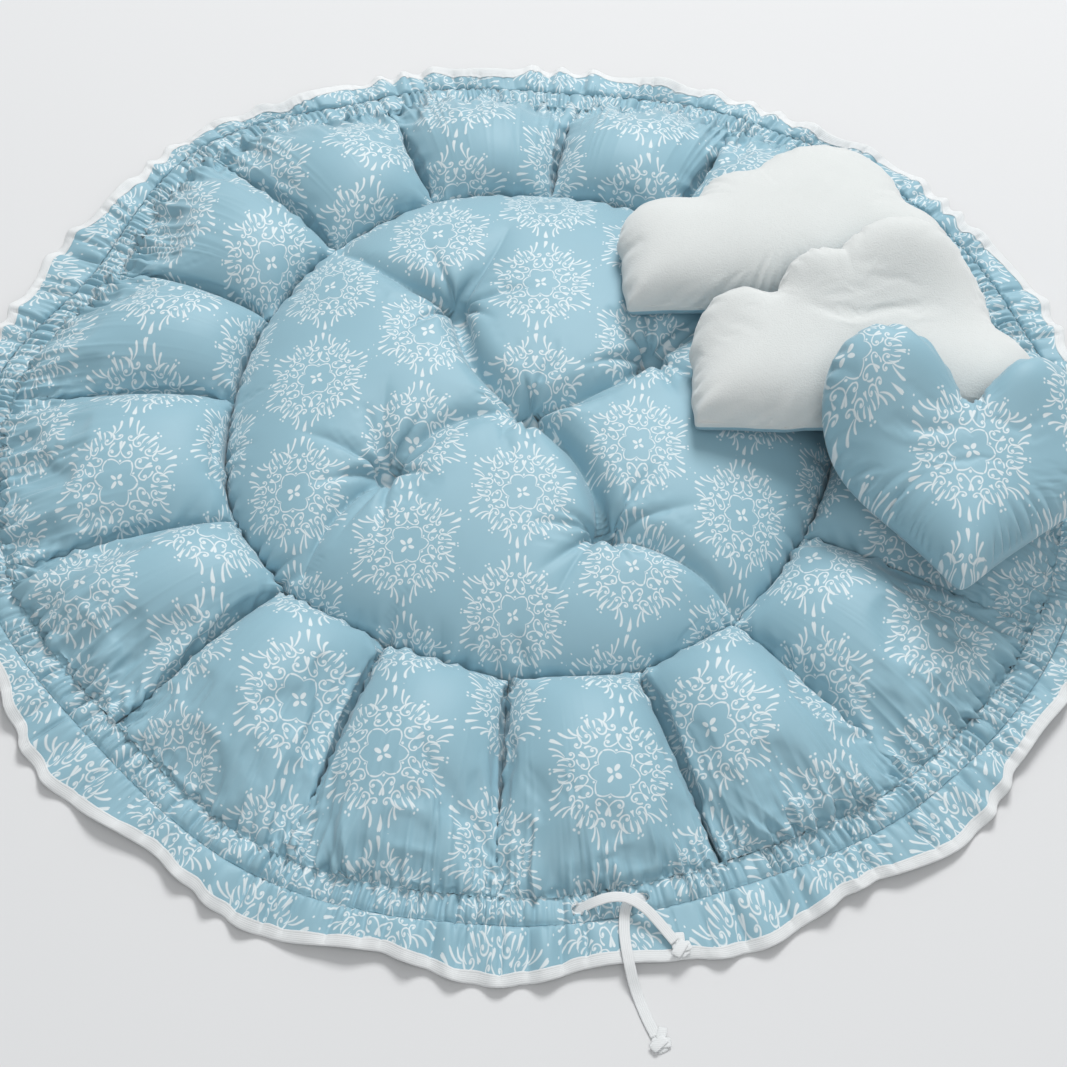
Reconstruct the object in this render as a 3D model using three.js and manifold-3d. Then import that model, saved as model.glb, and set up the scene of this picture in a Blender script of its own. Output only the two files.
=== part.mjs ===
// Round stuffed floor lounger for a baby. Petals surround a tufted centre cushion, all sewn to one backing
// cloth. A gathered casing with a drawstring and a bound ruffle go round the edge, and three loose pillows
// lie on top. Millimetres, +Z up, +Y away from the front, origin in the middle of the underside.
import * as THREE from 'three';
import { mergeVertices } from 'three/addons/utils/BufferGeometryUtils.js';
import Module from 'manifold-3d';

const wasm = await Module();
wasm.setup();

// Driving sizes of the mat
const petalCount = 16;
const ringSeamRadius = 315;
const petalEndRadius = 540;
const seamHeight = 12;
const petalCrown = 62;
const centreCrown = 76;
const backingThickness = 1.5;

// Clearances
const restClearance = 0.3;
const seamClearance = 0.6;
const pillowClearance = 0.8;

// Driving sizes of the casing, its drawstring and the ruffle
const casingWidth = 26;
const casingHeight = 16;
const casingWall = 1.2;
const casingGather = 1.4;
const buttonholeLength = 14;
const buttonholeWidth = 12;
const cutOverrun = 6;
const tapeWidth = 10;
const tapeThickness = 1.6;
const ruffleWidth = 49;
const ruffleThickness = 2;
const hemWave = 8;
const hemLift = 20;
const rufflePuff = 5;
const bindingWidth = 12;
const bindingWall = 0.8;
const knotRadius = 9;
const knotThickness = 5;
const knotEndLength = 6;

// Driving sizes of the pillows
const cloudWidth = 345;
const cloudThickness = 84;
const heartWidth = 285;
const heartHeight = 242;
const heartThickness = 78;
const drapeReach = 40;
const drapeSpread = 28;

// Where the pillows' middles lie on the mat, and how far each is turned, in degrees
const pillowPlaces = {
  cloud_pillow_back: { middle: [250, 191], degrees: 8 },
  cloud_pillow_front: { middle: [330, 34], degrees: 4 },
  heart_pillow: { middle: [426, -107], degrees: -2 },
};

// Shares read once round the mat, counterclockwise from the front seam
const ringRadiusShares = [
  0.985, 1.01, 0.995, 0.97, 0.985, 1, 1.01, 1.015,
  1.01, 1.035, 1.015, 0.99, 0.985, 1.02, 1.01, 0.965,
];
const ringTurnShares = [
  -0.01, 0.01, -0.09, -0.035, 0, 0, -0.04, -0.1,
  0, 0.03, 0.02, -0.025, -0.09, 0.18, -0.02, -0.05,
];
const endRadiusShares = [
  1, 0.985, 1.005, 1.015, 1.01, 0.955, 0.94, 0.905,
  0.87, 0.905, 0.97, 0.915, 1, 1.015, 0.985, 1.015,
];
const endTurnShares = [
  0.025, 0.02, -0.025, 0.005, 0, 0, -0.02, -0.1,
  -0.075, 0.05, 0.085, 0.06, 0.025, 0.005, 0.055, 0.115,
];
const ruffleWidthShares = [
  0.99, 1.1, 0.94, 0.64, 0.7, 0.74, 0.59, 0.53,
  0.73, 0.6, 0.45, 1.05, 0.74, 0.64, 1.03, 0.83,
];
const hemLiftShares = [
  0.3, 0.3, 0.3, 0.5, 0.7, 0.8, 0.9, 1,
  1, 1, 0.9, 0.8, 0.7, 0.5, 0.35, 0.3,
];

// Form of the stuffed pieces: powers that round the crown, and how far the underside lies flat
const acrossRoundingShare = 0.42;
const alongRoundingShare = 0.34;
const flatUndersideShare = 1.7;
const centreRimShare = 3;
const centreRoundingShare = 0.46;
const centreRingShare = 1.25;

// Tufts of the centre cushion as shares of the ring seam radius, and the creases that run between them
const tuftPlaceShares = {
  middle: [-0.01, -0.06],
  back: [-0.28, 0.38],
  right: [0.38, 0.21],
  front: [0.26, -0.5],
  left: [-0.43, -0.32],
};
const creasePlaceShares = [
  { from: 'middle', to: 'front', depthShare: 0.3 },
  { from: 'middle', to: 'right', depthShare: 0.22 },
  { from: 'middle', to: 'back', depthShare: 0.24 },
  { from: 'middle', to: 'left', depthShare: 0.14 },
  { from: 'back', end: [-0.68, 0.62], depthShare: 0.2 },
  { from: 'back', end: [-0.15, 0.63], depthShare: 0.14 },
  { from: 'left', end: [-0.64, -0.65], depthShare: 0.18 },
  { from: 'front', end: [0.67, -0.76], depthShare: 0.22 },
  { from: 'right', end: [0.58, 0.42], depthShare: 0.16 },
];
const tuftDepthShare = 0.62;
const tuftReachShare = 0.15;
const tuftPowerShare = 1.3;
const creaseReachShare = 0.075;

// Places of the two buttonholes between the first two seams, and the drawstring's way to each
const buttonholeShares = { left: 0.35, right: 0.62 };
const loopInsetShare = 0.155;

// Steps of the meshes
const stepsPerPetal = 8;
const rowsPerPetal = 6;
const centreRings = 12;
const centreUnderRings = 3;
const pillowSpokes = 40;
const pillowRings = 4;
const tapeSteps = 26;

const frontAngle = -Math.PI / 2;
const fullTurn = 2 * Math.PI;
const pitch = fullTurn / petalCount;
const undersideLevel = backingThickness + restClearance;
const hemRest = ruffleThickness / 2 + restClearance + bindingWall;

const { lerp } = THREE.MathUtils;
const evenSteps = (count) => Array.from({ length: count + 1 }, (_, i) => i / count);
const easedSteps = (count) => evenSteps(count).map((share) => (1 - Math.cos(Math.PI * share)) / 2);
const stations = easedSteps(stepsPerPetal);

// A value read from a table that goes once round the mat, eased from entry to entry
function roundShare(shares, petal, across) {
  const place = ((petal + across) / petalCount) * shares.length;
  const entry = Math.floor(place);
  const part = place - entry;
  const at = (index) => shares[((index % shares.length) + shares.length) % shares.length];
  return lerp(at(entry), at(entry + 1), part * part * (3 - 2 * part));
}

// Angle of a radial seam: it turns a little from the ring seam out to the petals' ends
function seamAngle(seam, outward) {
  const turn = lerp(roundShare(ringTurnShares, seam, 0), roundShare(endTurnShares, seam, 0), outward);
  return frontAngle + (seam + turn) * pitch;
}

function matAngle(petal, across, outward) {
  return lerp(seamAngle(petal, outward), seamAngle(petal + 1, outward), across);
}

const ringRadiusAt = (petal, across) => ringSeamRadius * roundShare(ringRadiusShares, petal, across);
const endRadiusAt = (petal, across) => petalEndRadius * roundShare(endRadiusShares, petal, across);
const onCircle = (radius, angle, z) => [radius * Math.cos(angle), radius * Math.sin(angle), z];

// Mesh of points and triangles, turned so that its faces point outwards
function solidFrom(points, faces) {
  const corner = (index) => new THREE.Vector3(...points[index]);
  const volume = faces.reduce((sum, [a, b, c]) => sum + corner(a).dot(corner(b).cross(corner(c))), 0);
  const outward = volume < 0 ? faces.map(([a, b, c]) => [a, c, b]) : faces;
  const geometry = new THREE.BufferGeometry();
  geometry.setAttribute('position', new THREE.Float32BufferAttribute(points.flat(), 3));
  geometry.setIndex(outward.flat());
  geometry.computeVertexNormals();
  return geometry;
}

// Closed cushion on a grid: an upper and a lower surface that share the sewn rim
function gridCushion(columns, rows, pointAt) {
  const points = [];
  const faces = [];
  const upper = [];
  const lower = [];
  rows.forEach((outward, row) => {
    upper.push([]);
    lower.push([]);
    columns.forEach((across, column) => {
      const rim = row === 0 || column === 0 || row === rows.length - 1 || column === columns.length - 1;
      upper[row].push(points.push(pointAt(across, outward, true)) - 1);
      lower[row].push(rim ? upper[row][column] : points.push(pointAt(across, outward, false)) - 1);
    });
  });
  for (let row = 1; row < rows.length; row++) {
    for (let column = 1; column < columns.length; column++) {
      for (const [side, flip] of [[upper, false], [lower, true]]) {
        const a = side[row - 1][column - 1];
        const b = side[row - 1][column];
        const c = side[row][column];
        const d = side[row][column - 1];
        faces.push(flip ? [a, c, b] : [a, b, c], flip ? [a, d, c] : [a, c, d]);
      }
    }
  }
  return solidFrom(points, faces);
}

// Closed cushion on rings round a middle point: pointAt(spoke, ringShare, upper) gives each place
function roundCushion(spokes, upperRings, lowerRings, pointAt) {
  const points = [];
  const faces = [];
  const rim = Array.from({ length: spokes }, (_, spoke) => points.push(pointAt(spoke, 1, true)) - 1);
  for (const [rings, upper] of [[upperRings, true], [lowerRings, false]]) {
    let outer = rim;
    for (const ring of rings.slice(1, -1).reverse()) {
      const inner = rim.map((_, spoke) => points.push(pointAt(spoke, ring, upper)) - 1);
      for (let spoke = 0; spoke < spokes; spoke++) {
        const next = (spoke + 1) % spokes;
        const quad = [inner[spoke], outer[spoke], outer[next], inner[next]];
        if (!upper) quad.reverse();
        faces.push([quad[0], quad[1], quad[2]], [quad[0], quad[2], quad[3]]);
      }
      outer = inner;
    }
    const middle = points.push(pointAt(0, 0, upper)) - 1;
    for (let spoke = 0; spoke < spokes; spoke++) {
      const next = (spoke + 1) % spokes;
      faces.push(upper ? [middle, outer[spoke], outer[next]] : [middle, outer[next], outer[spoke]]);
    }
  }
  return solidFrom(points, faces);
}

// Solid swept through a list of like sections, closed into a ring or capped at both ends. Each quad is split
// from its inner corner, so that twisted surfaces that lie close together stay clear of each other
function sweptSolid(sections, isRing) {
  const size = sections[0].length;
  const points = sections.flat();
  const reach = (index) => Math.hypot(points[index][0], points[index][1]);
  const faces = [];
  const last = isRing ? sections.length : sections.length - 1;
  for (let section = 0; section < last; section++) {
    const next = (section + 1) % sections.length;
    for (let side = 0; side < size; side++) {
      const after = (side + 1) % size;
      const [a, b] = [section * size + side, section * size + after];
      const [c, d] = [next * size + after, next * size + side];
      if (reach(a) < reach(b)) faces.push([a, b, c], [a, c, d]);
      else faces.push([a, b, d], [b, c, d]);
    }
  }
  if (!isRing) {
    for (let side = 1; side < size - 1; side++) {
      const end = (sections.length - 1) * size;
      faces.push([0, side + 1, side], [end, end + side, end + side + 1]);
    }
  }
  return solidFrom(points, faces);
}

// Every station round the mat's edge, as petal and share across it
const edgeStations = [];
for (let petal = 0; petal < petalCount; petal++) {
  for (const across of stations.slice(0, -1)) edgeStations.push({ petal, across });
}

// Section of a ring at the mat's edge: places are [distance beyond the petals' ends, height]
function edgeSection({ petal, across }, places) {
  const angle = matAngle(petal, across, 1);
  const radius = endRadiusAt(petal, across);
  return places.map(([beyond, z]) => onCircle(radius + beyond, angle, z));
}

const bulge = (share, rounding) => (4 * share * (1 - share)) ** rounding;

// Petal: a stuffed pocket with steep sides that are drawn in to the seams
function petalGeometry(petal) {
  const meanRadius = (ringSeamRadius + petalEndRadius) / 2;
  return gridCushion(stations, easedSteps(rowsPerPetal), (across, outward, upper) => {
    const inner = ringRadiusAt(petal, across) + seamClearance / 2;
    const outer = endRadiusAt(petal, across) - seamClearance / 2;
    const radius = lerp(inner, outer, outward);
    const inset = seamClearance / 2 / radius;
    const first = seamAngle(petal, outward) + inset;
    const second = seamAngle(petal + 1, outward) - inset;
    const rise = bulge(across, acrossRoundingShare) * bulge(outward, alongRoundingShare);
    const crown = petalCrown * Math.sqrt(radius / meanRadius);
    const press = Math.min(1, flatUndersideShare * rise);
    const z = upper ? seamHeight + crown * rise : lerp(seamHeight, undersideLevel, press);
    return onCircle(radius, lerp(first, second, across), z);
  });
}

// How far a place lies from the straight crease between two points
function distanceToCrease(place, start, end) {
  const line = new THREE.Line3(new THREE.Vector3(...start, 0), new THREE.Vector3(...end, 0));
  const nearest = line.closestPointToPoint(place, true, new THREE.Vector3());
  return nearest.distanceTo(place);
}

// Share of the crown that is left where the tufts and creases pull the centre cushion down
function tuftedShare(x, y) {
  const place = new THREE.Vector3(x / ringSeamRadius, y / ringSeamRadius, 0);
  let left = 1;
  for (const tuft of Object.values(tuftPlaceShares)) {
    const distance = distanceToCrease(place, tuft, tuft) / tuftReachShare;
    left *= 1 - tuftDepthShare * Math.exp(-(distance ** tuftPowerShare));
  }
  for (const { from, to, end, depthShare } of creasePlaceShares) {
    const distance = distanceToCrease(place, tuftPlaceShares[from], end ?? tuftPlaceShares[to]);
    left *= 1 - depthShare * Math.exp(-((distance / creaseReachShare) ** 2));
  }
  return left;
}

// Centre cushion: a round crown, pulled down by its tufts
function centreGeometry() {
  const spokesPerPetal = stepsPerPetal / 2;
  const rings = evenSteps(centreRings).map((share) => 1 - (1 - share) ** centreRingShare);
  const spokes = petalCount * spokesPerPetal;
  return roundCushion(spokes, rings, evenSteps(centreUnderRings), (spoke, ring, upper) => {
    const petal = Math.floor(spoke / spokesPerPetal);
    const across = stations[(spoke % spokesPerPetal) * 2];
    const radius = ring * (ringRadiusAt(petal, across) - seamClearance / 2);
    const [x, y] = onCircle(radius, matAngle(petal, across, 0), 0);
    const rise = (1 - ring ** centreRimShare) ** centreRoundingShare;
    const top = seamHeight + centreCrown * rise * tuftedShare(x, y);
    const z = upper ? top : lerp(seamHeight, undersideLevel, Math.min(1, flatUndersideShare * rise));
    return [x, y, z];
  });
}

// Backing: one flat cloth under the stuffing, out to the ruffle's seam
function backingGeometry() {
  const outline = edgeStations.map((station) => {
    const [[x, y]] = edgeSection(station, [[casingWidth, 0]]);
    return new THREE.Vector2(x, y);
  });
  return new THREE.ExtrudeGeometry(new THREE.Shape(outline), { depth: backingThickness, bevelEnabled: false });
}

// Casing: a gathered tunnel of cloth, open below over the backing, with a buttonhole for each tape end
function casingGeometry() {
  const shoulderShare = 0.12;
  const shoulderHeightShare = 0.72;
  const sections = edgeStations.map((station, index) => {
    const crown = casingHeight - (index % 2) * casingGather;
    const shoulder = crown * shoulderHeightShare;
    return edgeSection(station, [
      [0, undersideLevel],
      [casingWall, undersideLevel],
      [casingWidth / 2, crown - casingWall],
      [casingWidth - casingWall, undersideLevel],
      [casingWidth, undersideLevel],
      [casingWidth * (1 - shoulderShare), shoulder],
      [casingWidth / 2, crown],
      [casingWidth * shoulderShare, shoulder],
    ]);
  });
  let tunnel = toManifold(sweptSolid(sections, true));
  for (const across of Object.values(buttonholeShares)) {
    const depth = casingHeight + cutOverrun;
    const hole = new THREE.BoxGeometry(buttonholeWidth, buttonholeLength, depth);
    hole.rotateZ(matAngle(0, across, 1));
    hole.translate(...buttonholePlace(across));
    hole.translate(0, 0, undersideLevel + tapeThickness + restClearance + depth / 2);
    tunnel = tunnel.subtract(toManifold(hole));
  }
  return fromManifold(tunnel);
}

// A geometry as a solid that can be cut, and back
function toManifold(geometry) {
  geometry.deleteAttribute('normal');
  geometry.deleteAttribute('uv');
  const merged = mergeVertices(geometry);
  const mesh = new wasm.Mesh({
    numProp: 3,
    vertProperties: new Float32Array(merged.attributes.position.array),
    triVerts: new Uint32Array(merged.index.array),
  });
  return new wasm.Manifold(mesh);
}

function fromManifold(solid) {
  const { vertProperties, triVerts } = solid.getMesh();
  const geometry = new THREE.BufferGeometry();
  geometry.setAttribute('position', new THREE.BufferAttribute(vertProperties, 3));
  geometry.setIndex(new THREE.BufferAttribute(triVerts, 1));
  geometry.computeVertexNormals();
  return geometry;
}

// Drawstring inside the casing: flat tape all the way round, from one buttonhole to the other
function loopGeometry() {
  const loopSteps = petalCount * (stepsPerPetal / 2);
  const start = buttonholeShares.right + loopInsetShare;
  const end = petalCount + buttonholeShares.left - loopInsetShare;
  const inner = (casingWidth - tapeWidth) / 2;
  const outer = inner + tapeWidth;
  const top = undersideLevel + tapeThickness;
  const corners = [[inner, undersideLevel], [outer, undersideLevel], [outer, top], [inner, top]];
  const sections = evenSteps(loopSteps).map((share) => {
    const place = lerp(start, end, share);
    const petal = Math.floor(place);
    return edgeSection({ petal, across: place - petal }, corners);
  });
  return sweptSolid(sections, false);
}

// Middle surface of the ruffle: its seam lies low at the casing and its hem rises between the seams
function rufflePoint({ petal, across }, outward) {
  const seam = endRadiusAt(petal, across) + casingWidth + restClearance;
  const width = ruffleWidth * roundShare(ruffleWidthShares, petal, across);
  const hem = seam + width + hemWave * Math.cos(fullTurn * across);
  const lift = hemLift * roundShare(hemLiftShares, petal, across) * (1 - Math.cos(fullTurn * across)) / 2;
  const seamLevel = undersideLevel + restClearance + ruffleThickness / 2;
  const puff = rufflePuff * Math.sin(Math.PI * outward);
  return { seam, hem, z: lerp(seamLevel, hemRest + lift, outward) + puff };
}

// Places across the ruffle at a station: where the binding's lip lies and where the cloth ends inside it
function hemPlaces(station) {
  const { seam, hem } = rufflePoint(station, 0);
  const lip = hem - bindingWidth;
  const edge = hem - bindingWall - restClearance;
  const share = (radius) => (radius - seam) / (hem - seam);
  const level = (radius) => rufflePoint(station, share(radius)).z;
  return { seam, hem, lip, edge, lipLevel: level(lip), edgeLevel: level(hem) };
}

function ruffleGeometry() {
  const half = ruffleThickness / 2;
  const sections = edgeStations.map((station) => {
    const { seam, lip, edge, lipLevel, edgeLevel } = hemPlaces(station);
    const middle = (seam + lip) / 2;
    const spine = [
      [seam, rufflePoint(station, 0).z],
      [middle, rufflePoint(station, 1 / 2).z],
      [lip, lipLevel],
      [edge, edgeLevel],
    ];
    const under = spine.map(([radius, z]) => [radius, z - half]);
    const over = spine.map(([radius, z]) => [radius, z + half]).reverse();
    const angle = matAngle(station.petal, station.across, 1);
    return [...under, ...over].map(([radius, z]) => onCircle(radius, angle, z));
  });
  return sweptSolid(sections, true);
}

// Binding: a folded strip that holds the ruffle's edge between its two lips
function bindingGeometry() {
  const inside = ruffleThickness / 2 + restClearance;
  const outside = inside + bindingWall;
  const sections = edgeStations.map((station) => {
    const { hem, lip, edge, lipLevel, edgeLevel } = hemPlaces(station);
    const fold = edge + restClearance;
    const places = [
      [lip, lipLevel - inside],
      [fold, edgeLevel - inside],
      [fold, edgeLevel + inside],
      [lip, lipLevel + inside],
      [lip, lipLevel + outside],
      [hem, edgeLevel + outside],
      [hem, edgeLevel - outside],
      [lip, lipLevel - outside],
    ];
    const angle = matAngle(station.petal, station.across, 1);
    return places.map(([radius, z]) => onCircle(radius, angle, z));
  });
  return sweptSolid(sections, true);
}

// Middle of a buttonhole in plan
function buttonholePlace(across) {
  return onCircle(endRadiusAt(0, across) + casingWidth / 2, matAngle(0, across, 1), 0);
}

// Routes of the two tape ends from inside the casing to the knots, measured from their buttonholes
const tailRoutes = {
  left: [
    [-23.6, -3.4, 2.6], [-15.7, -2.2, 2.9], [-8.8, -1.2, 5.6], [-2.9, -0.3, 10.4], [3.1, 0.6, 15.4],
    [9, 2, 19.8], [16, 4, 23.6], [26.6, 6.8, 26.4], [38.1, 7.8, 27], [49.6, 5, 25.8], [60.6, -1, 23],
    [70.6, -9.2, 19.4], [79.6, -18.2, 16.6], [87.6, -26.7, 14.8],
  ],
  right: [
    [23.6, 6.6, 2.6], [15.9, 4.6, 2.9], [9.1, 2.9, 5.6], [3.3, 1.3, 10.4], [-2.5, -0.4, 15.4],
    [-7.6, -2.8, 18.4], [-11.8, -7.4, 19.2], [-14.2, -14.4, 18], [-14.8, -22.8, 16], [-14.4, -32.8, 15],
    [-13, -43.8, 14.8], [-10.8, -54.8, 14.4], [-8.2, -65.4, 12.4], [-5.2, -75.2, 8.2], [-1.8, -84.4, 4],
    [2.4, -94.4, 1.6], [7.4, -105.8, 1.3], [12.8, -116.8, 1.3], [18.4, -127.2, 1.3],
  ],
};

// Tape end: flat tape swept along its route, its face kept level wherever the route lies flat
function tailGeometry(points, crosswise) {
  const route = new THREE.CatmullRomCurve3(points.map((point) => new THREE.Vector3(...point)));
  route.computeFrenetFrames = (segments) => {
    const frames = { tangents: [], normals: [], binormals: [] };
    for (let step = 0; step <= segments; step++) {
      const tangent = route.getTangentAt(step / segments);
      const across = new THREE.Vector3(-tangent.y, tangent.x, 0).addScaledVector(crosswise, tangent.z ** 2);
      across.addScaledVector(tangent, -across.dot(tangent)).normalize();
      frames.tangents.push(tangent);
      frames.normals.push(across);
      frames.binormals.push(new THREE.Vector3().crossVectors(tangent, across));
    }
    return frames;
  };
  const [w, t] = [tapeWidth / 2, tapeThickness / 2];
  const cornerShare = 0.86;
  const edgeShare = 0.5;
  const quarter = [[w, t * edgeShare], [w * cornerShare, t]];
  const outline = [
    ...quarter,
    ...quarter.map(([x, y]) => [-x, y]).reverse(),
    ...quarter.map(([x, y]) => [-x, -y]),
    ...quarter.map(([x, y]) => [x, -y]).reverse(),
  ];
  const section = new THREE.Shape(outline.map((point) => new THREE.Vector2(...point)));
  return new THREE.ExtrudeGeometry(section, { steps: tapeSteps, extrudePath: route });
}

// Flat knot: the tape folded into a five-sided knot, with its short cut end standing out
function knotGeometry(points) {
  const corners = 5;
  const [before, end] = points.slice(-2).map((point) => new THREE.Vector3(...point));
  const heading = Math.atan2(end.y - before.y, end.x - before.x);
  const outline = Array.from({ length: corners }, (_, corner) => {
    const angle = Math.PI + ((corner + 1 / 2) * fullTurn) / corners;
    return [knotRadius * Math.cos(angle), knotRadius * Math.sin(angle)];
  });
  const [first, second] = [outline[1], outline[2]].map((corner) => new THREE.Vector2(...corner));
  const tip = new THREE.Vector2().subVectors(second, first).rotateAround(new THREE.Vector2(), -Math.PI / 2);
  tip.setLength(knotEndLength);
  outline.splice(2, 0, first.clone().add(tip).toArray(), second.clone().add(tip).toArray());
  const shape = new THREE.Shape(outline.map((corner) => new THREE.Vector2(...corner)));
  const geometry = new THREE.ExtrudeGeometry(shape, { depth: knotThickness, bevelEnabled: false });
  const reach = knotRadius * Math.cos(Math.PI / corners) + restClearance;
  geometry.rotateZ(heading);
  const level = Math.max(restClearance, end.z - knotThickness / 2);
  geometry.translate(end.x + reach * Math.cos(heading), end.y + reach * Math.sin(heading), level);
  return geometry;
}

// Cloud outline: the distance from its middle to the farthest lobe, cut straight along the bottom
const cloudMiddleShare = [0.5, 0.24];
const cloudLobeShares = [
  [0.165, 0.28, 0.165],
  [0.2, 0.12, 0.2],
  [0.39, 0.4, 0.14],
  [0.64, 0.38, 0.255],
  [0.84, 0.21, 0.165],
  [0.5, 0.18, 0.33],
];

function cloudOutline(angle) {
  const [dx, dy] = [Math.cos(angle), Math.sin(angle)];
  const [middleX, middleY] = cloudMiddleShare;
  let reach = 0;
  for (const [lobeX, lobeY, radius] of cloudLobeShares) {
    const along = (lobeX - middleX) * dx + (lobeY - middleY) * dy;
    const aside = (lobeX - middleX) * dy - (lobeY - middleY) * dx;
    if (Math.abs(aside) < radius) reach = Math.max(reach, along + Math.sqrt(radius ** 2 - aside ** 2));
  }
  if (dy < 0) reach = Math.min(reach, middleY / -dy);
  return [reach * dx * cloudWidth, reach * dy * cloudWidth];
}

// Heart outline: x follows the cube of a sine and y a sum of cosines
function heartOutline(turn) {
  const angle = turn - Math.PI / 2;
  const cosineShares = [13, -5, -2, -1];
  const spanShare = 28.9;
  const middleShare = -2.5;
  const height = cosineShares.reduce((sum, share, index) => sum + share * Math.cos((index + 1) * angle), 0);
  return [(heartWidth / 2) * Math.sin(angle) ** 3, (heartHeight * (height - middleShare)) / spanShare];
}

// Pillow before it is laid down: a seam round its middle, a full top and a flatter underside, bent over
// whatever pillows it will lie on
function pillowGeometry({ outlineAt, thickness }, { middle, degrees }, pillowsBeneath) {
  const turn = THREE.MathUtils.degToRad(degrees);
  const upperShare = 0.6;
  const pillowPowerShare = 2.4;
  const pillowRoundingShare = 0.6;
  const rings = evenSteps(pillowRings).map((share) => 1 - (1 - share) ** centreRingShare);
  const beneath = pillowsBeneath.flatMap(trianglesOf);
  return roundCushion(pillowSpokes, rings, rings, (spoke, ring, upper) => {
    const [x, y] = outlineAt((fullTurn * spoke) / pillowSpokes).map((reach) => reach * ring);
    const across = middle[0] + x * Math.cos(turn) - y * Math.sin(turn);
    const back = middle[1] + x * Math.sin(turn) + y * Math.cos(turn);
    const swell = thickness * (1 - ring ** pillowPowerShare) ** pillowRoundingShare;
    return [across, back, drapedLevel(beneath, across, back) + swell * (upper ? upperShare : upperShare - 1)];
  });
}

// Level that a limp pillow takes over a place: the tops beneath it, spread outwards and then evened out
function drapedLevel(beneath, x, y) {
  const matLevel = seamHeight + petalCrown;
  const directions = evenSteps(8).slice(1);
  const around = (reach) => directions.map((share) => onCircle(reach, share * fullTurn, 0));
  const levels = [[0, 0], ...around(drapeReach / 2), ...around(drapeReach)].map(([dx, dy]) => {
    const topAt = ([ex, ey]) => surfaceHeight(beneath, x + dx + ex, y + dy + ey, true);
    return Math.max(matLevel, ...[[0, 0], ...around(drapeSpread)].map(topAt));
  });
  return levels.reduce((sum, level) => sum + level, 0) / levels.length;
}

// Height of the uppermost or undermost surface of some geometries over a place on the floor
function surfaceHeight(triangles, x, y, upper) {
  let height = upper ? -Infinity : Infinity;
  for (const [a, b, c] of triangles) {
    const area = (b.x - a.x) * (c.y - a.y) - (c.x - a.x) * (b.y - a.y);
    const first = ((b.x - x) * (c.y - y) - (c.x - x) * (b.y - y)) / area;
    const second = ((c.x - x) * (a.y - y) - (a.x - x) * (c.y - y)) / area;
    const third = 1 - first - second;
    if (area === 0 || first < 0 || second < 0 || third < 0) continue;
    const z = first * a.z + second * b.z + third * c.z;
    height = upper ? Math.max(height, z) : Math.min(height, z);
  }
  return height;
}

function trianglesOf(geometry) {
  const place = geometry.attributes.position;
  const cornerAt = (index) => new THREE.Vector3().fromBufferAttribute(place, index);
  const corners = Array.from(geometry.index.array, cornerAt);
  return corners.flatMap((_, i) => (i % 3 === 0 ? [corners.slice(i, i + 3)] : []));
}

// Lays a pillow down: it is lowered until its underside is one clearance above what lies beneath it
function layDown(pillow, beneath) {
  const under = trianglesOf(pillow);
  const over = beneath.flatMap(trianglesOf);
  let drop = Infinity;
  for (const corner of new Set(under.flat())) {
    drop = Math.min(drop, corner.z - surfaceHeight(over, corner.x, corner.y, true));
  }
  for (const corner of new Set(over.flat())) {
    drop = Math.min(drop, surfaceHeight(under, corner.x, corner.y, false) - corner.z);
  }
  return pillow.translate(0, 0, pillowClearance - drop);
}

// Materials
const cloth = (color, roughness) => new THREE.MeshStandardMaterial({ color, roughness, metalness: 0 });
const printedCotton = '#93bccb';
const whitePlush = '#dfe4e3';
const whiteTape = '#d9dcdd';
const plainCotton = '#8fb7c6';

const lounger = new THREE.Group();

function addPiece(name, geometry, color, roughness) {
  const mesh = new THREE.Mesh(geometry, cloth(color, roughness));
  mesh.name = name;
  lounger.add(mesh);
  return geometry;
}

const sateenRoughness = 0.55;
const cottonRoughness = 0.8;
const plushRoughness = 0.95;

// The mat
const matTop = [addPiece('centre_cushion', centreGeometry(), printedCotton, sateenRoughness)];
for (let petal = 0; petal < petalCount; petal++) {
  const name = `petal_${String(petal + 1).padStart(2, '0')}`;
  matTop.push(addPiece(name, petalGeometry(petal), printedCotton, sateenRoughness));
}
addPiece('backing_cloth', backingGeometry(), plainCotton, cottonRoughness);
addPiece('drawstring_casing', casingGeometry(), printedCotton, sateenRoughness);
addPiece('drawstring_loop', loopGeometry(), whiteTape, cottonRoughness);
addPiece('ruffle', ruffleGeometry(), printedCotton, sateenRoughness);
addPiece('hem_binding', bindingGeometry(), whiteTape, cottonRoughness);

// The drawstring's two ends
for (const [side, steps] of Object.entries(tailRoutes)) {
  const start = buttonholePlace(buttonholeShares[side]);
  const route = steps.map((step) => step.map((reach, axis) => start[axis] + reach));
  const angle = matAngle(0, buttonholeShares[side], 1);
  const crosswise = new THREE.Vector3(Math.cos(angle), Math.sin(angle), 0);
  if (side === 'left') crosswise.negate();
  addPiece(`drawstring_tail_${side}`, tailGeometry(route, crosswise), whiteTape, cottonRoughness);
  addPiece(`drawstring_knot_${side}`, knotGeometry(route), whiteTape, cottonRoughness);
}

// The loose pillows, each laid on the mat and on the pillows before it
const cloud = { outlineAt: cloudOutline, thickness: cloudThickness };
const heart = { outlineAt: heartOutline, thickness: heartThickness };
const laid = [];
for (const [name, place] of Object.entries(pillowPlaces)) {
  const isCloud = name.startsWith('cloud');
  const geometry = layDown(pillowGeometry(isCloud ? cloud : heart, place, laid), [...matTop, ...laid]);
  laid.push(geometry);
  addPiece(name, geometry, isCloud ? whitePlush : printedCotton, isCloud ? plushRoughness : sateenRoughness);
}

export default lounger;
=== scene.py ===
"""Round stuffed floor lounger for a baby: quilted top, gathered casing, bound ruffle, drawstring and pillows."""
import math

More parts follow.
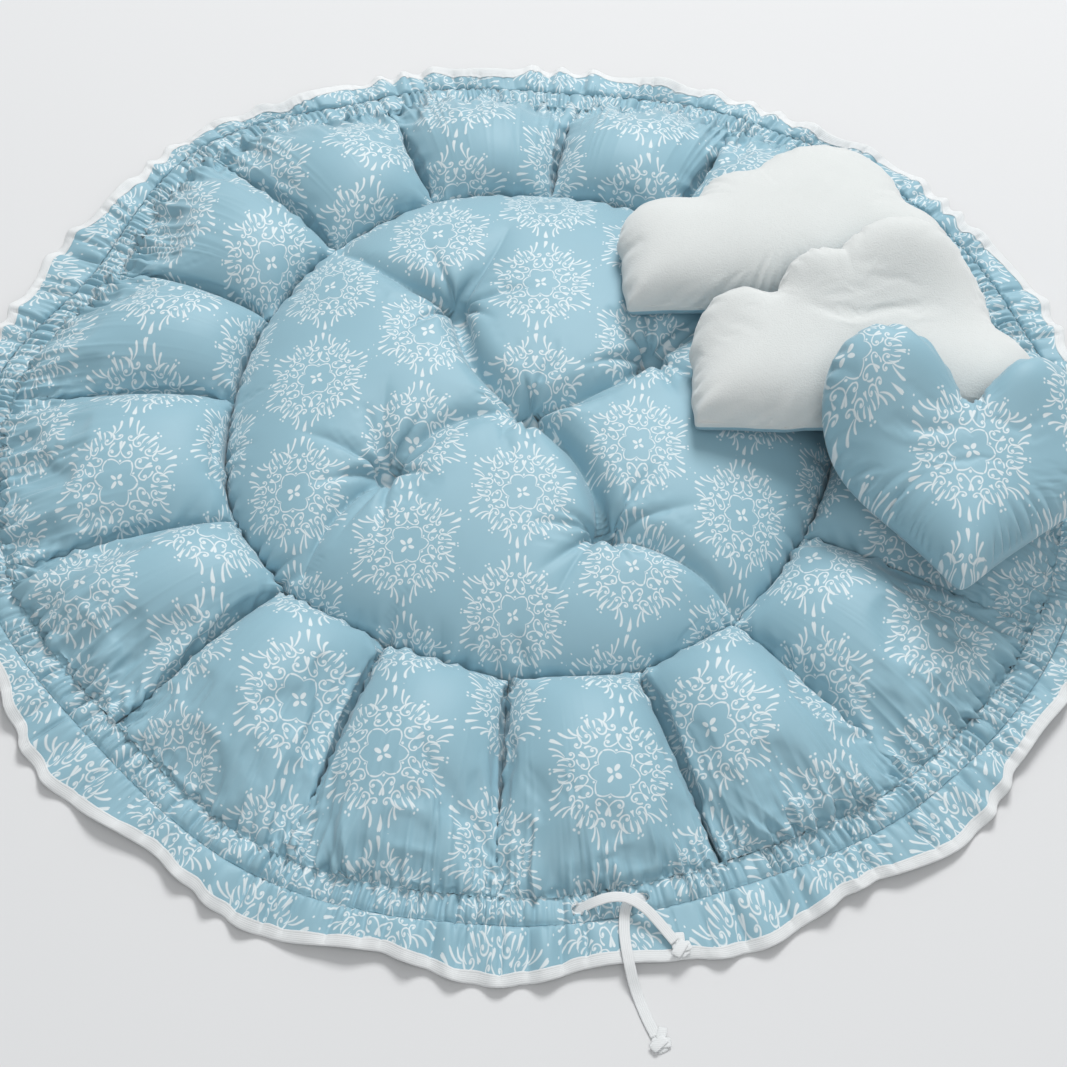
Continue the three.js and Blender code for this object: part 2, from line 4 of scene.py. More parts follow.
import bmesh
import bpy
import numpy as np
from mathutils import Matrix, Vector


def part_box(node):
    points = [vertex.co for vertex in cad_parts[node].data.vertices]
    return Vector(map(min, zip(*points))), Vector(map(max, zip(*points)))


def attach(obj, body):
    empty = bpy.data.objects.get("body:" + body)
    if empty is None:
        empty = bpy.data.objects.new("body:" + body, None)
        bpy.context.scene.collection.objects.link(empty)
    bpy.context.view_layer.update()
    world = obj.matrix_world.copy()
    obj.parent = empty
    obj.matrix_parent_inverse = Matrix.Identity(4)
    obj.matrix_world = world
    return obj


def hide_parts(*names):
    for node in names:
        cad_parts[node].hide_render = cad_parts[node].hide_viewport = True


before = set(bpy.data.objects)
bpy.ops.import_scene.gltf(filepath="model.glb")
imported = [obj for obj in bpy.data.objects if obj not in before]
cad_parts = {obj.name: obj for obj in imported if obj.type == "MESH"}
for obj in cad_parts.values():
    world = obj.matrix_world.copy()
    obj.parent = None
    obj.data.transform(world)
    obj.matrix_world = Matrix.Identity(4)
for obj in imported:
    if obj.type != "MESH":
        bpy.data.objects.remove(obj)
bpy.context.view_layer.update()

bl_info = {
    "name": "Quilted Floor Lounger",
    "version": (1, 0, 0),
    "blender": (4, 5, 0),
    "location": "View3D > Sidebar > Lounger",
    "description": "A round stuffed floor lounger with petals, a drawstring casing, a bound ruffle and pillows",
    "category": "Add Mesh",
}

PETALS = 16
PITCH = 2 * math.pi / PETALS

# Points of the grids: simulated cloth of a petal, of the centre and of a pillow, and the finer final ones
PETAL_CLOTH, CENTRE_CLOTH, PILLOW_CLOTH = 44, 112, 76
PETAL_ACROSS, PETAL_OUT, CENTRE_POINTS, PILLOW_POINTS = 132, 96, 334, 151
CASING_STEPS, RUFFLE_STEPS, BACKING_STEPS = 190, 120, 24

# Settings of the cloth in a simulation
CLOTH_SETTINGS = {
    "quality": 5, "mass": 0.2, "air_damping": 4, "tension_stiffness": 40, "compression_stiffness": 40,
    "shear_stiffness": 8, "bending_stiffness": 0.1, "tension_damping": 8, "compression_damping": 8,
    "shear_damping": 8, "bending_damping": 0.5, "vertex_group_mass": "pins", "use_pressure": True,
}

# Shares read once round the mat, counterclockwise from the front seam
RING_RADIUS = np.array([
    0.985, 1.01, 0.995, 0.97, 0.985, 1, 1.01, 1.015, 1.01, 1.035, 1.015, 0.99, 0.985, 1.02, 1.01, 0.965,
])
RING_TURN = np.array([
    -0.01, 0.01, -0.09, -0.035, 0, 0, -0.04, -0.1, 0, 0.03, 0.02, -0.025, -0.09, 0.18, -0.02, -0.05,
])
END_RADIUS = np.array([
    1, 0.985, 1.005, 1.015, 1.01, 0.955, 0.94, 0.905, 0.87, 0.905, 0.97, 0.915, 1, 1.015, 0.985, 1.015,
])
END_TURN = np.array([
    0.025, 0.02, -0.025, 0.005, 0, 0, -0.02, -0.1, -0.075, 0.05, 0.085, 0.06, 0.025, 0.005, 0.055, 0.115,
])
RUFFLE_WIDTH = np.array([0.99, 1.1, 0.94, 0.64, 0.7, 0.74, 0.59, 0.53, 0.73, 0.6, 0.45, 1.05, 0.74, 0.64, 1.03, 0.83])
HEM_LIFT = np.array([0.3, 0.3, 0.3, 0.5, 0.7, 0.8, 0.9, 1, 1, 1, 0.9, 0.8, 0.7, 0.5, 0.35, 0.3])

# Tufts of the centre cushion, and the creases between them (from, to, depth share at both ends, bow), as shares
# of the ring seam's radius
TUFTS = np.array([(-0.01, -0.06), (-0.28, 0.38), (0.38, 0.21), (0.26, -0.5), (-0.43, -0.32)])
CREASES = (
    ((-0.01, -0.06), (0.26, -0.5), 0.42, 0.42, 0.1), ((-0.01, -0.06), (0.38, 0.21), 0.36, 0.36, -0.08),
    ((-0.01, -0.06), (-0.28, 0.38), 0.4, 0.4, 0.12), ((-0.01, -0.06), (-0.43, -0.32), 0.2, 0.3, -0.12),
    ((-0.28, 0.38), (-0.7, 0.66), 0.36, 0.12, 0.06), ((-0.28, 0.38), (-0.13, 0.7), 0.28, 0.04, -0.05),
    ((-0.43, -0.32), (-0.66, -0.68), 0.38, 0.16, -0.07), ((0.26, -0.5), (0.69, -0.72), 0.42, 0.18, 0.08),
    ((0.38, 0.21), (0.66, 0.46), 0.3, 0.1, 0.0), ((0.26, -0.5), (0.1, -0.9), 0.16, 0.02, -0.06),
    ((-0.43, -0.32), (-0.46, 0.02), 0.22, 0.0, 0.06),
)

# Radius of the flat cloth at the ring seam, over the seam's own radius: the rest is taken up by the crown
FLAT_EASE = 1.22

# The casing's fine tucks, which run on into the petals and the ruffle: how many to a petal, their seed and sway
TUCKS = (22, 3, 4.0)

# Heights of the casing's seams with the petals and with the ruffle, and of the tape in a buttonhole
INNER_SEAM, OUTER_SEAM, WELL_LEVEL = 0.0152, 0.0108, 0.0042

# How far the backing's two faces lie apart
BACKING_THICKNESS = 0.0015

# Where the buttonholes lie across the front petal, how far from them the tape in the casing ends, both in petals,
# half the axes of a hole and of its stitched rim, and the drawstring ends' routes measured from the holes, in metres
BUTTONHOLES = {"left": 0.35, "right": 0.62}
LOOP_END = 0.155
HOLE_HALF, RIM_HALF = (0.0068, 0.0046), (0.0074, 0.0052)
ROUTES = {
    "left": np.array([
        (-23.6, -3.4, 2.6), (-15.7, -2.2, 2.9), (-8.8, -1.2, 5.6), (-2.9, -0.3, 10.4), (3.1, 0.6, 15.4),
        (9, 2, 19.8), (16, 4, 23.6), (26.6, 6.8, 26.4), (38.1, 7.8, 27), (49.6, 5, 25.8), (60.6, -1, 23),
        (70.6, -9.2, 19.4), (79.6, -18.2, 16.6), (87.6, -26.7, 14.8),
    ]) / 1000,
    "right": np.array([
        (23.6, 6.6, 2.6), (15.9, 4.6, 2.9), (9.1, 2.9, 5.6), (3.3, 1.3, 10.4), (-2.5, -0.4, 15.4),
        (-7.6, -2.8, 18.4), (-11.8, -7.4, 19.2), (-14.2, -14.4, 18), (-14.8, -22.8, 16), (-14.4, -32.8, 15),
        (-13, -43.8, 14.8), (-10.8, -54.8, 14.4), (-8.2, -65.4, 12.4), (-5.2, -75.2, 8.2), (-1.8, -84.4, 4),
        (2.4, -94.4, 1.6), (7.4, -105.8, 1.3), (12.8, -116.8, 1.3), (18.4, -127.2, 1.3),
    ]) / 1000,
}

# The scroll print: its repeat, a medallion's radius and the drawn line's weight; then one folded wedge of a
# medallion, as shares of its radius: curls (x, y, size, turn, hand), strokes (x, y, size, start, sweep, weight)
# and dots (x, y, size)
PRINT = {"Column": 0.125, "Drop": 0.152, "Radius": 0.051, "Line": 0.0168}
WEDGE = 2 * math.pi / 6
SHARPNESS = 70.0
CURLS = (
    (0.562, 0.161, 0.1, 3.491, 1), (0.775, 0.297, 0.12, -1.309, 1), (0.873, 0.107, 0.085, -2.618, -1),
)
STROKES = (
    (0.197, 0.174, 0.22, 0.262, -1.227, 1), (0.656, 0.195, 0.2, 3.491, 1.3, 1),
    (0.801, -0.569, 0.6, 1.641, 0.367, 1.5), (0.739, 0.433, 0.26, -1.309, 1.2, 1.1),
    (0.973, 0.05, 0.2, 2.618, -1.25, 1), (1.366, -1.486, 1.5, 1.588, 0.24, 1.5),
    (1.163, 0.572, 0.42, -1.292, -0.857, 1.4), (0.998, 0.52, 0.28, -0.977, -1.071, 1.3),
    (0.817, 0.45, 0.2, -0.524, -1, 1.2), (1.139, 0.068, 0.5, 1.833, 0.48, 1.2),
    (0.764, 0.663, 0.3, -0.838, -0.667, 1.3), (0.59, 0.048, 0.16, 0.524, 1, 1.2),
    (0.809, 0.238, 0.2, 2.618, -0.7, 1.2),
)
DOTS = (
    (0.4, 0, 0.024), (1.07, 0.57, 0.022), (1.42, 0.16, 0.018),
)

# Outlines of the pillows: lobes of a cloud as shares of its width (x, y, radius), where each pillow lies and how
# far it is turned, in degrees, and the share of its thickness that lies over its seam
CLOUD_MIDDLE = (0.5, 0.24)
CLOUD_LOBES = (
    (0.165, 0.28, 0.165), (0.2, 0.12, 0.2), (0.22, 0.19, 0.217), (0.39, 0.4, 0.14), (0.64, 0.38, 0.255),
    (0.84, 0.21, 0.165), (0.82, 0.14, 0.18), (0.5, 0.18, 0.33), (0.105, 0.06, 0.105), (0.9, 0.06, 0.09),
)
PILLOW_PLACES = {
    "cloud_pillow_back": ((0.250, 0.191), 8),
    "cloud_pillow_front": ((0.330, 0.034), 4),
    "heart_pillow": ((0.426, -0.107), -2),
}
ABOVE = 0.6
BODIES = {"cloud_pillow_back": "cloud_back", "cloud_pillow_front": "cloud_front", "heart_pillow": "heart"}

# Half the floor's width, and where the camera sees it begin to fade into the backdrop and where it has faded
FLOOR_HALF, FADE = 12.0, (1.1, 3.2)

# The camera at the photograph's angle: its axes, its place and its focal length in pixels of the photograph
CAMERA_AXES = ((0.99762, 0.06833, 0.00931), (-0.06084, 0.80854, 0.58529), (0.03247, -0.58446, 0.81077))
CAMERA_PLACE = (0.09015, -1.5546, 1.98736)
FOCAL_PIXELS, PHOTO_PIXELS, SENSOR_WIDTH = 2431.69, 1067, 36.0


def length(name, text, default):
    """A size in metres, shown in the panel."""
    return bpy.props.FloatProperty(name=name, description=text, default=default, min=0.0, unit="LENGTH")


def colour(name, text, default):
    """A linear colour, shown in the panel."""
    return bpy.props.FloatVectorProperty(name=name, description=text, default=default, size=3, min=0, max=1,
                                         subtype="COLOR")


class LoungerSizes(bpy.types.PropertyGroup):
    """Sizes of the lounger."""

    ring_radius: length("Ring Seam Radius", "From the middle to the seam round the centre cushion", 0.315)
    end_radius: length("Petal End Radius", "From the middle to the outer ends of the petals", 0.54)
    seam_height: length("Seam Height", "Height of the seams over the floor", 0.012)
    petal_crown: length("Petal Crown", "How far a petal rises over its seams", 0.062)
    centre_crown: length("Centre Crown", "How far the centre cushion rises over its seam", 0.076)
    underside: length("Underside", "Height of the stuffed pieces' flat undersides", 0.0018)
    seam_gap: length("Seam Gap", "Gap between two pieces sewn to each other", 0.0002)
    casing_width: length("Casing Width", "Width of the gathered casing", 0.026)
    casing_height: length("Casing Height", "Height of the gathered casing", 0.016)
    ruffle_width: length("Ruffle Width", "Mean width of the ruffle with its binding", 0.049)
    ruffle_thickness: length("Ruffle Thickness", "Thickness of the ruffle's two layers", 0.0014)
    hem_wave: length("Hem Wave", "How far the hem swings in and out", 0.008)
    hem_lift: length("Hem Lift", "How far the hem rises between the seams", 0.02)
    binding_width: length("Binding Width", "Width of the binding on the hem", 0.0115)
    tape_width: length("Tape Width", "Width of the drawstring's flat tape", 0.01)
    tape_thickness: length("Tape Thickness", "Thickness of the drawstring's flat tape", 0.0016)
    cloud_width: length("Cloud Width", "Width of a cloud pillow", 0.345)
    cloud_thickness: length("Cloud Thickness", "Thickness of a cloud pillow", 0.084)
    heart_width: length("Heart Width", "Width of the heart pillow", 0.285)
    heart_height: length("Heart Height", "Height of the heart pillow's outline", 0.242)
    heart_thickness: length("Heart Thickness", "Thickness of the heart pillow", 0.078)


class LoungerColours(bpy.types.PropertyGroup):
    """Colours of the lounger's cloths, in linear values."""

    blue: colour("Blue", "Ground of the printed cotton", (0.262, 0.440, 0.520))
    print: colour("Print", "Scrolls printed on the cotton", (0.720, 0.770, 0.780))
    plain: colour("Plain Blue", "Plain cotton of the backing", (0.262, 0.440, 0.520))
    plush: colour("Plush", "White plush of the clouds", (0.640, 0.665, 0.655))
    tape: colour("Tape", "White tape and binding", (0.740, 0.760, 0.765))
    floor: colour("Floor", "Floor under the lounger", (0.665, 0.670, 0.675))
    backdrop: colour("Backdrop", "Tone that the floor fades into far away", (0.840, 0.855, 0.870))


# Plan of the mat

def eased(count, amount=1.0):
    """Places from 0 to 1 that lie closer towards both ends: i / count, drawn by the amount to (1 - cos) / 2."""
    even = np.arange(count + 1) / count
    return even * (1 - amount) + amount * (1 - np.cos(np.pi * even)) / 2


def round_share(shares, place):
    """A table read once round the mat at a place counted in petals, eased from entry to entry."""
    entry = np.floor(place).astype(int)
    part = place - entry
    part = part * part * (3 - 2 * part)
    return shares[entry % PETALS] * (1 - part) + shares[(entry + 1) % PETALS] * part


def seam_angle(seam, outward):
    """Angle of a radial seam, which turns a little from the ring seam out to the petals' ends."""
    turn = RING_TURN[seam % PETALS] * (1 - outward) + END_TURN[seam % PETALS] * outward
    return -np.pi / 2 + (seam + turn) * PITCH


def mat_angle(place, outward):
    """Angle at a place counted in petals: even between the two seams beside it."""
    seam = np.floor(place).astype(int)
    part = place - seam
    return seam_angle(seam, outward) * (1 - part) + seam_angle(seam + 1, outward) * part


def end_seam(sizes, place):
    """Radius of the petals' outer seam."""
    return sizes.end_radius * round_share(END_RADIUS, place)


def on_circle(radius, angle, height):
    """Points at a radius, an angle and a height."""
    radius, angle, height = np.broadcast_arrays(radius, angle, height)
    return np.stack([radius * np.cos(angle), radius * np.sin(angle), height], axis=-1)


def round_mat(steps):
    """Places round the mat as a column, counted in petals, with so many steps to a petal."""
    return np.linspace(0, PETALS, PETALS * steps, endpoint=False)[:, None]


def full_turn(count):
    """Evenly spaced angles once round."""
    return np.linspace(0, 2 * np.pi, count, endpoint=False)


def rotate(x, y, angle, about=(0.0, 0.0)):
    """Plan coordinates turned by an angle, and counted from a point."""
    cos, sin = math.cos(angle), math.sin(angle)
    return about[0] + x * cos - y * sin, about[1] + x * sin + y * cos


def paired(first, second):
    """Two arrays as the two coordinates of places, each repeated where the other is longer."""
    return np.stack(np.broadcast_arrays(first, second), axis=-1)


def blurred(values, half, width, axis=0):
    """Values that go round an axis, evened out by a bell curve of this width, cut off at half steps either way."""
    reach = np.arange(-half, half + 1)
    weights = np.exp(-0.5 * (reach / width) ** 2)
    return sum(w * np.roll(values, k, axis=axis) for w, k in zip(weights / weights.sum(), reach))


def wander(place, seed, waves, low, high):
    """A smooth seamless wandering value round the mat: a sum of sines with seeded counts and phases."""
    draw = np.random.default_rng(seed)
    counts = draw.integers(low, high, waves)
    phases = draw.uniform(0, 2 * np.pi, waves)
    turn = 2 * np.pi * place[..., None] / PETALS
    return np.sin(turn * counts + phases).sum(-1) / math.sqrt(waves)


# Meshes

def grid_quads(rows, columns, close_columns=False, close_rows=False, first=0):
    """Corner numbers of the quads of a grid of rows × columns points, closed in either direction if asked."""
    r = np.arange(rows if close_rows else rows - 1)[:, None]
    c = np.arange(columns if close_columns else columns - 1)[None, :]
    r2, c2 = (r + 1) % rows, (c + 1) % columns
    quads = np.stack([r * columns + c, r * columns + c2, r2 * columns + c2, r2 * columns + c], axis=-1)
    return first + quads.reshape(-1, 4)


def fan(ring, apex):
    """Triangles from a closed ring of points to one point."""
    return np.stack([ring, np.roll(ring, -1), np.full(len(ring), apex)], axis=-1)


def capped_tube(rows, columns, first=0):
    """Faces of a closed tube of rows of points, with a fan at either end to one of the two points after them."""
    ring, apex = first + np.arange(columns), first + rows * columns
    return [grid_quads(rows, columns, close_columns=True, first=first), fan(ring, apex),
            fan(ring + (rows - 1) * columns, apex + 1)]


def make_piece(name, points, faces, material, cloth=None):
    """A smooth mesh object from arrays: points, lists of faces with 3 or 4 corners, and UVs per point. Its
    material is given by name."""
    points = np.asarray(points, dtype=np.float32).reshape(-1, 3)
    mesh = bpy.data.meshes.new(name)
    corners = np.concatenate([f.reshape(-1) for f in faces])
    totals = np.concatenate([np.full(len(f), f.shape[1]) for f in faces])
    mesh.vertices.add(len(points))
    mesh.vertices.foreach_set("co", points.ravel())
    mesh.loops.add(len(corners))
    mesh.loops.foreach_set("vertex_index", corners.astype(np.int32))
    mesh.polygons.add(len(totals))
    mesh.polygons.foreach_set("loop_start", np.concatenate([[0], np.cumsum(totals)[:-1]]).astype(np.int32))
    mesh.polygons.foreach_set("loop_total", totals.astype(np.int32))
    mesh.polygons.foreach_set("use_smooth", np.full(len(totals), True))
    if cloth is not None:
        layer = mesh.uv_layers.new(name="cloth")
        layer.data.foreach_set("uv", np.asarray(cloth, dtype=np.float32).reshape(-1, 2)[corners].ravel())
    mesh.update(calc_edges=True)
    if mesh.validate():
        raise RuntimeError(f"{name} has faulty faces")
    mesh.materials.append(finish(material))
    piece = bpy.data.objects.new(name, mesh)
    bpy.context.collection.objects.link(piece)
    return piece


def declare(piece, body, node):
    """Turns a finished piece's faces outwards and says which body it rides on and which CAD node it replaces, if any."""
    shape = bmesh.new()
    shape.from_mesh(piece.data)
    bmesh.ops.recalc_face_normals(shape, faces=shape.faces)
    shape.to_mesh(piece.data)
    shape.free()
    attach(piece, body)
    if node:
        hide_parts(node)


def resample(points, rows, columns):
    """A grid read at other places, given as fractional row and column numbers, by Catmull-Rom curves."""
    for axis, place in ((0, rows), (1, columns)):
        p = np.moveaxis(points, axis, 0)
        p = np.concatenate([2 * p[:1] - p[1:2], p, 2 * p[-1:] - p[-2:-1]])
        entry = np.clip(np.floor(place).astype(int), 0, len(p) - 4)
        t = (place - entry).reshape((-1,) + (1,) * (p.ndim - 1))
        a, b, c, d = (p[entry + k] for k in range(4))
        read = b + 0.5 * t * (c - a + t * (2 * a - 5 * b + 4 * c - d + t * (3 * (b - c) + d - a)))
        points = np.moveaxis(read, 0, axis)
    return points


def run_along(points, axis):
    """Length of the cloth along a grid's rows (axis 1) or columns (axis 0), from 0 at the first point."""
    steps = np.linalg.norm(np.diff(points, axis=axis), axis=-1)
    return np.cumsum(np.concatenate([np.zeros_like(steps.take([0], axis)), steps], axis=axis), axis=axis)


def puckers(along, away, span, count, seed, reach, depth, width=0.003):
    """Heights of short folds that run from a seam into the cloth, over the normal surface.

    Fold k starts at a random place, leans a little, is L long and D deep: its height is
    -D × min(1, away / 3 mm) × (1 - away / L)^1.2 × (exp(-x / w) - 0.45 exp(-((x - 2.2 w) / w)²)), where x is the
    distance from its line and w is its width, which grows by a tenth of the distance from the seam."""
    draw = np.random.default_rng(seed)
    starts = (np.arange(count) + draw.uniform(0.1, 0.9, count)) / count * span
    lengths = reach[0] + (reach[1] - reach[0]) * draw.uniform(0, 1, count) ** 1.6
    depths = depth * (lengths / reach[1]) ** 0.4 * draw.uniform(0.4, 1, count)
    leans = draw.normal(0, 0.2, count)
    total = np.zeros(np.broadcast(along, away).shape)
    for start, length_, deep, lean in zip(starts, lengths, depths, leans):
        x = np.abs((along - start - lean * away + span / 2) % span - span / 2)
        wide = width + 0.1 * away
        fade = np.clip(1 - away / length_, 0, 1) ** 1.2 * np.minimum(1, away / 0.003)
        total -= deep * fade * (np.exp(-x / wide) - 0.45 * np.exp(-((x - 2.2 * wide) / wide) ** 2))
    return total


def star(x, y, place, count, seed, reach, depth):
    """Heights of the folds round a tuft, the deepest at each place: -D × (1 - r / L) × exp(-(s / W)^1.5), where
    r is the distance from the tuft, s that from the fold's line and W is 4 mm + 0.03 r."""
    draw = np.random.default_rng(seed)
    turns = (np.arange(count) + draw.uniform(0, 0.8, count)) / count * 2 * np.pi
    lengths = draw.uniform(reach[0], reach[1], count)
    away = np.hypot(x - place[0], y - place[1])
    angle = np.arctan2(y - place[1], x - place[0])
    total = np.zeros_like(x)
    for turn, length_ in zip(turns, lengths):
        side = away * np.abs(np.sin(angle - turn))
        fade = np.clip(1 - away / length_, 0, 1) * (np.cos(angle - turn) > 0)
        total = np.minimum(total, -depth * fade * np.exp(-(side / (0.004 + 0.03 * away)) ** 1.5))
    return total


def edge_pins(patch):
    """Marks the points on the edge of a grid, which stay where they are."""
    pin = np.zeros(patch.shape[:2], dtype=bool)
    pin[[0, -1], :] = True
    pin[:, [0, -1]] = True
    return pin


def edge_loop(rows, columns):
    """Point numbers once round the edge of a grid, with the first row first."""
    top = np.arange(columns)
    right = np.arange(1, rows) * columns + columns - 1
    bottom = (rows - 1) * columns + np.arange(columns - 2, -1, -1)
    left = np.arange(rows - 2, 0, -1) * columns
    return np.concatenate([top, right, bottom, left])


def two_sides(top, under):
    """Joins two grids of the same size at their common edge in one closed surface.

    Returns the points, the faces of the upper and of the lower side, and which points of the lower grid it kept."""
    rows, columns = top.shape[:2]
    count = rows * columns
    edge = edge_loop(rows, columns)
    inner = np.setdiff1d(np.arange(count), edge)
    numbers = np.empty(count, dtype=int)
    numbers[edge] = edge
    numbers[inner] = count + np.arange(len(inner))
    upper = grid_quads(rows, columns)
    points = np.concatenate([top.reshape(-1, 3), under.reshape(-1, 3)[inner]])
    return points, upper, numbers[upper][:, ::-1], inner


def closed_below(top, level):
    """Closes a grid's edge with a wall and a flat underside: five inner loops towards the middle and a fan.

    Returns the points and the faces, and the underside's own points come after the grid's."""
    rows, columns = top.shape[:2]
    edge = edge_loop(rows, columns)
    rim = top.reshape(-1, 3)[edge].copy()
    rim[:, 2] = level
    middle = rim.mean(axis=0)
    shares = np.array([0.0, 0.02, 0.1, 0.35, 0.7])[:, None, None]
    loops = rim[None] * (1 - shares) + middle * shares
    size, first = len(edge), rows * columns
    points = np.concatenate([top.reshape(-1, 3), loops.reshape(-1, 3), middle[None]])
    after = np.roll(np.arange(size), -1)
    wall = np.stack([edge, edge[after], first + after, first + np.arange(size)], axis=-1)
    floor = grid_quads(len(shares), size, close_columns=True, first=first)
    apex = first + len(shares) * size
    return points, [grid_quads(rows, columns), wall, floor, fan(apex - size + np.arange(size), apex)]


def grid_normals(points):
    """Unit normals of a grid surface: the cross product of its two gradients."""
    normal = np.cross(np.gradient(points, axis=1), np.gradient(points, axis=0))
    return normal / np.maximum(np.linalg.norm(normal, axis=-1, keepdims=True), 1e-12)


# The quilted top

def crown_share(share, inner, outer):
    """Height share of a stuffed form between two seams: share^inner × (1 - share)^outer, with its top at 1."""
    top = inner / (inner + outer)
    peak = top ** inner * (1 - top) ** outer
    return np.maximum(share, 0) ** inner * np.maximum(1 - share, 0) ** outer / peak


def petal_surface(sizes, petal, across, outward):
    """Top of a petal. Plan: even between its two radial seams and between the ring seam and its outer end.

    Height: seam height + crown × root of (radius / mean radius) × crown share across × crown share outward, with
    the outer seam raised by 4 mm × outward^8 to the casing's top."""
    place = petal + np.minimum(across, 1 - 1e-9)
    gap = sizes.seam_gap / 2
    inner = sizes.ring_radius * round_share(RING_RADIUS, place) + gap
    outer = end_seam(sizes, place) - gap
    radius = inner * (1 - outward) + outer * outward
    inset = gap / radius
    first = seam_angle(petal, outward) + inset
    second = seam_angle(petal + 1, outward) - inset
    mean = (sizes.ring_radius + sizes.end_radius) / 2
    rise = crown_share(across, 0.46, 0.46) * crown_share(outward, 0.34, 0.68)
    height = sizes.seam_height + sizes.petal_crown * np.sqrt(radius / mean) * rise + 0.004 * outward ** 8
    return on_circle(radius, first * (1 - across) + second * across, height)


def crease_distance(x, y, crease):
    """Distance to a crease, a straight line bent sideways by bow × 4 t (1 - t), and the place t along it."""
    (ax, ay), (bx, by), _, _, bow = crease
    dx, dy = bx - ax, by - ay
    size = math.hypot(dx, dy)
    along = np.clip(((x - ax) * dx + (y - ay) * dy) / size ** 2, 0, 1)
    cx = ax + dx * along - 4 * bow * dy * along * (1 - along)
    cy = ay + dy * along + 4 * bow * dx * along * (1 - along)
    return np.hypot(x - cx, y - cy), along


def crease_share(x, y):
    """Share of the crown left by the tufts and creases: each tuft takes 1 - 0.17 exp(-d / 0.03) -
    0.1 exp(-d / 0.1), and the deepest crease 1 - 0.5 × depth × exp(-(d / 0.05)²), where d is the distance to it
    and its depth goes evenly from end to end."""
    left = np.ones_like(x)
    for tx, ty in TUFTS:
        away = np.hypot(x - tx, y - ty)
        left = left * (1 - 0.17 * np.exp(-away / 0.03) - 0.1 * np.exp(-away / 0.1))
    deepest = np.zeros_like(x)
    for crease in CREASES:
        away, along = crease_distance(x, y, crease)
        depth = crease[2] * (1 - along) + crease[3] * along
        deepest = np.maximum(deepest, 0.5 * depth * np.exp(-(away / 0.05) ** 2))
    return left * (1 - deepest)


def disc_grid(count):
    """A square grid bent into the unit disc: x = u × root(1 - v² / 2) and y = v × root(1 - u² / 2)."""
    line = np.linspace(-1, 1, count)
    u, v = np.meshgrid(line, line)
    return u * np.sqrt(1 - v * v / 2), v * np.sqrt(1 - u * u / 2)


def centre_surface(sizes, count):
    """Top of the centre cushion on a disc grid: a crown (1 - r^3)^0.46, pulled down at the tufts and creases."""
    x, y = disc_grid(count)
    share = np.minimum(np.hypot(x, y), 1)
    angle = np.arctan2(y, x)
    # The mat's places are unevenly spaced in angle, so the place is found by interpolation
    places = np.linspace(0, PETALS, 1601)
    angles = mat_angle(np.minimum(places, PETALS - 1e-9), 0.0)
    angles[-1] = angles[0] + 2 * np.pi
    wrapped = (angle - angles[0]) % (2 * np.pi) + angles[0]
    place = np.interp(wrapped, angles, places)
    rim = sizes.ring_radius * round_share(RING_RADIUS, place) - sizes.seam_gap / 2
    radius = share * rim
    px, py = radius * np.cos(angle), radius * np.sin(angle)
    # Points close up towards the rim, where the side is steep
    rise = (1 - share ** 3) ** 0.46
    tuft = crease_share(px / sizes.ring_radius, py / sizes.ring_radius)
    height = sizes.seam_height + sizes.centre_crown * rise * tuft
    return np.stack([px, py, height], axis=-1), share


def settle(name, patches, pins, excess, frames, pressure=4.0):
    """Lets patches of cloth swell over their pinned seams in one simulation, and returns their new points.

    Each patch is a grid of points. Its rest lengths are those of its start, made longer by the excess."""
    counts = [p.shape[0] * p.shape[1] for p in patches]
    starts = np.concatenate([[0], np.cumsum(counts)[:-1]])
    points = np.concatenate([p.reshape(-1, 3) for p in patches])
    faces = np.concatenate([grid_quads(p.shape[0], p.shape[1], first=s) for p, s in zip(patches, starts)])
    cloth = make_piece(name, points, [faces], "plain_cotton")
    cloth.shape_key_add(name="Basis")
    rest = cloth.shape_key_add(name="rest")
    longer = np.concatenate([(p * (1 + e)).reshape(-1, 3) for p, e in zip(patches, excess)])
    rest.data.foreach_set("co", longer.astype(np.float32).ravel())
    held = np.concatenate([p.ravel() for p in pins])
    group = cloth.vertex_groups.new(name="pins")
    group.add([int(i) for i in np.flatnonzero(held)], 1.0, "REPLACE")
    modifier = cloth.modifiers.new("Cloth", "CLOTH")
    settings = modifier.settings
    for key, value in CLOTH_SETTINGS.items():
        setattr(settings, key, value)
    settings.uniform_pressure_force = pressure
    settings.rest_shape_key = rest
    settings.effector_weights.gravity = 0
    modifier.collision_settings.use_collision = False
    scene = bpy.context.scene
    modifier.point_cache.frame_start = 1
    modifier.point_cache.frame_end = frames
    for step in range(1, frames + 1):
        scene.frame_set(step)
    shape = cloth.evaluated_get(bpy.context.evaluated_depsgraph_get()).data
    moved = np.empty(len(points) * 3, dtype=np.float32)
    shape.vertices.foreach_get("co", moved)
    moved = moved.reshape(-1, 3).astype(float)
    scene.frame_set(1)
    bpy.data.objects.remove(cloth)
    if not np.isfinite(moved).all():
        raise RuntimeError(f"{name} didn't settle")
    return [m.reshape(p.shape) for m, p in zip(np.split(moved, starts[1:]), patches)]


def flat_layout(sizes, petal, points, outward):
    """Cloth coordinates of a petal: the flat cloth's radius grows by the cloth's length outward along the crest,
    and its angle between the two seams by the cloth's length across each row."""
    across = run_along(points, 1)
    share = across / across[:, -1:]
    crest = run_along(points, 0)[:, points.shape[1] // 2]
    radius = sizes.ring_radius * FLAT_EASE + crest[:, None]
    angle = seam_angle(petal, outward) * (1 - share) + seam_angle(petal + 1, outward) * share
    return np.stack([radius * np.cos(angle), radius * np.sin(angle)], axis=-1)


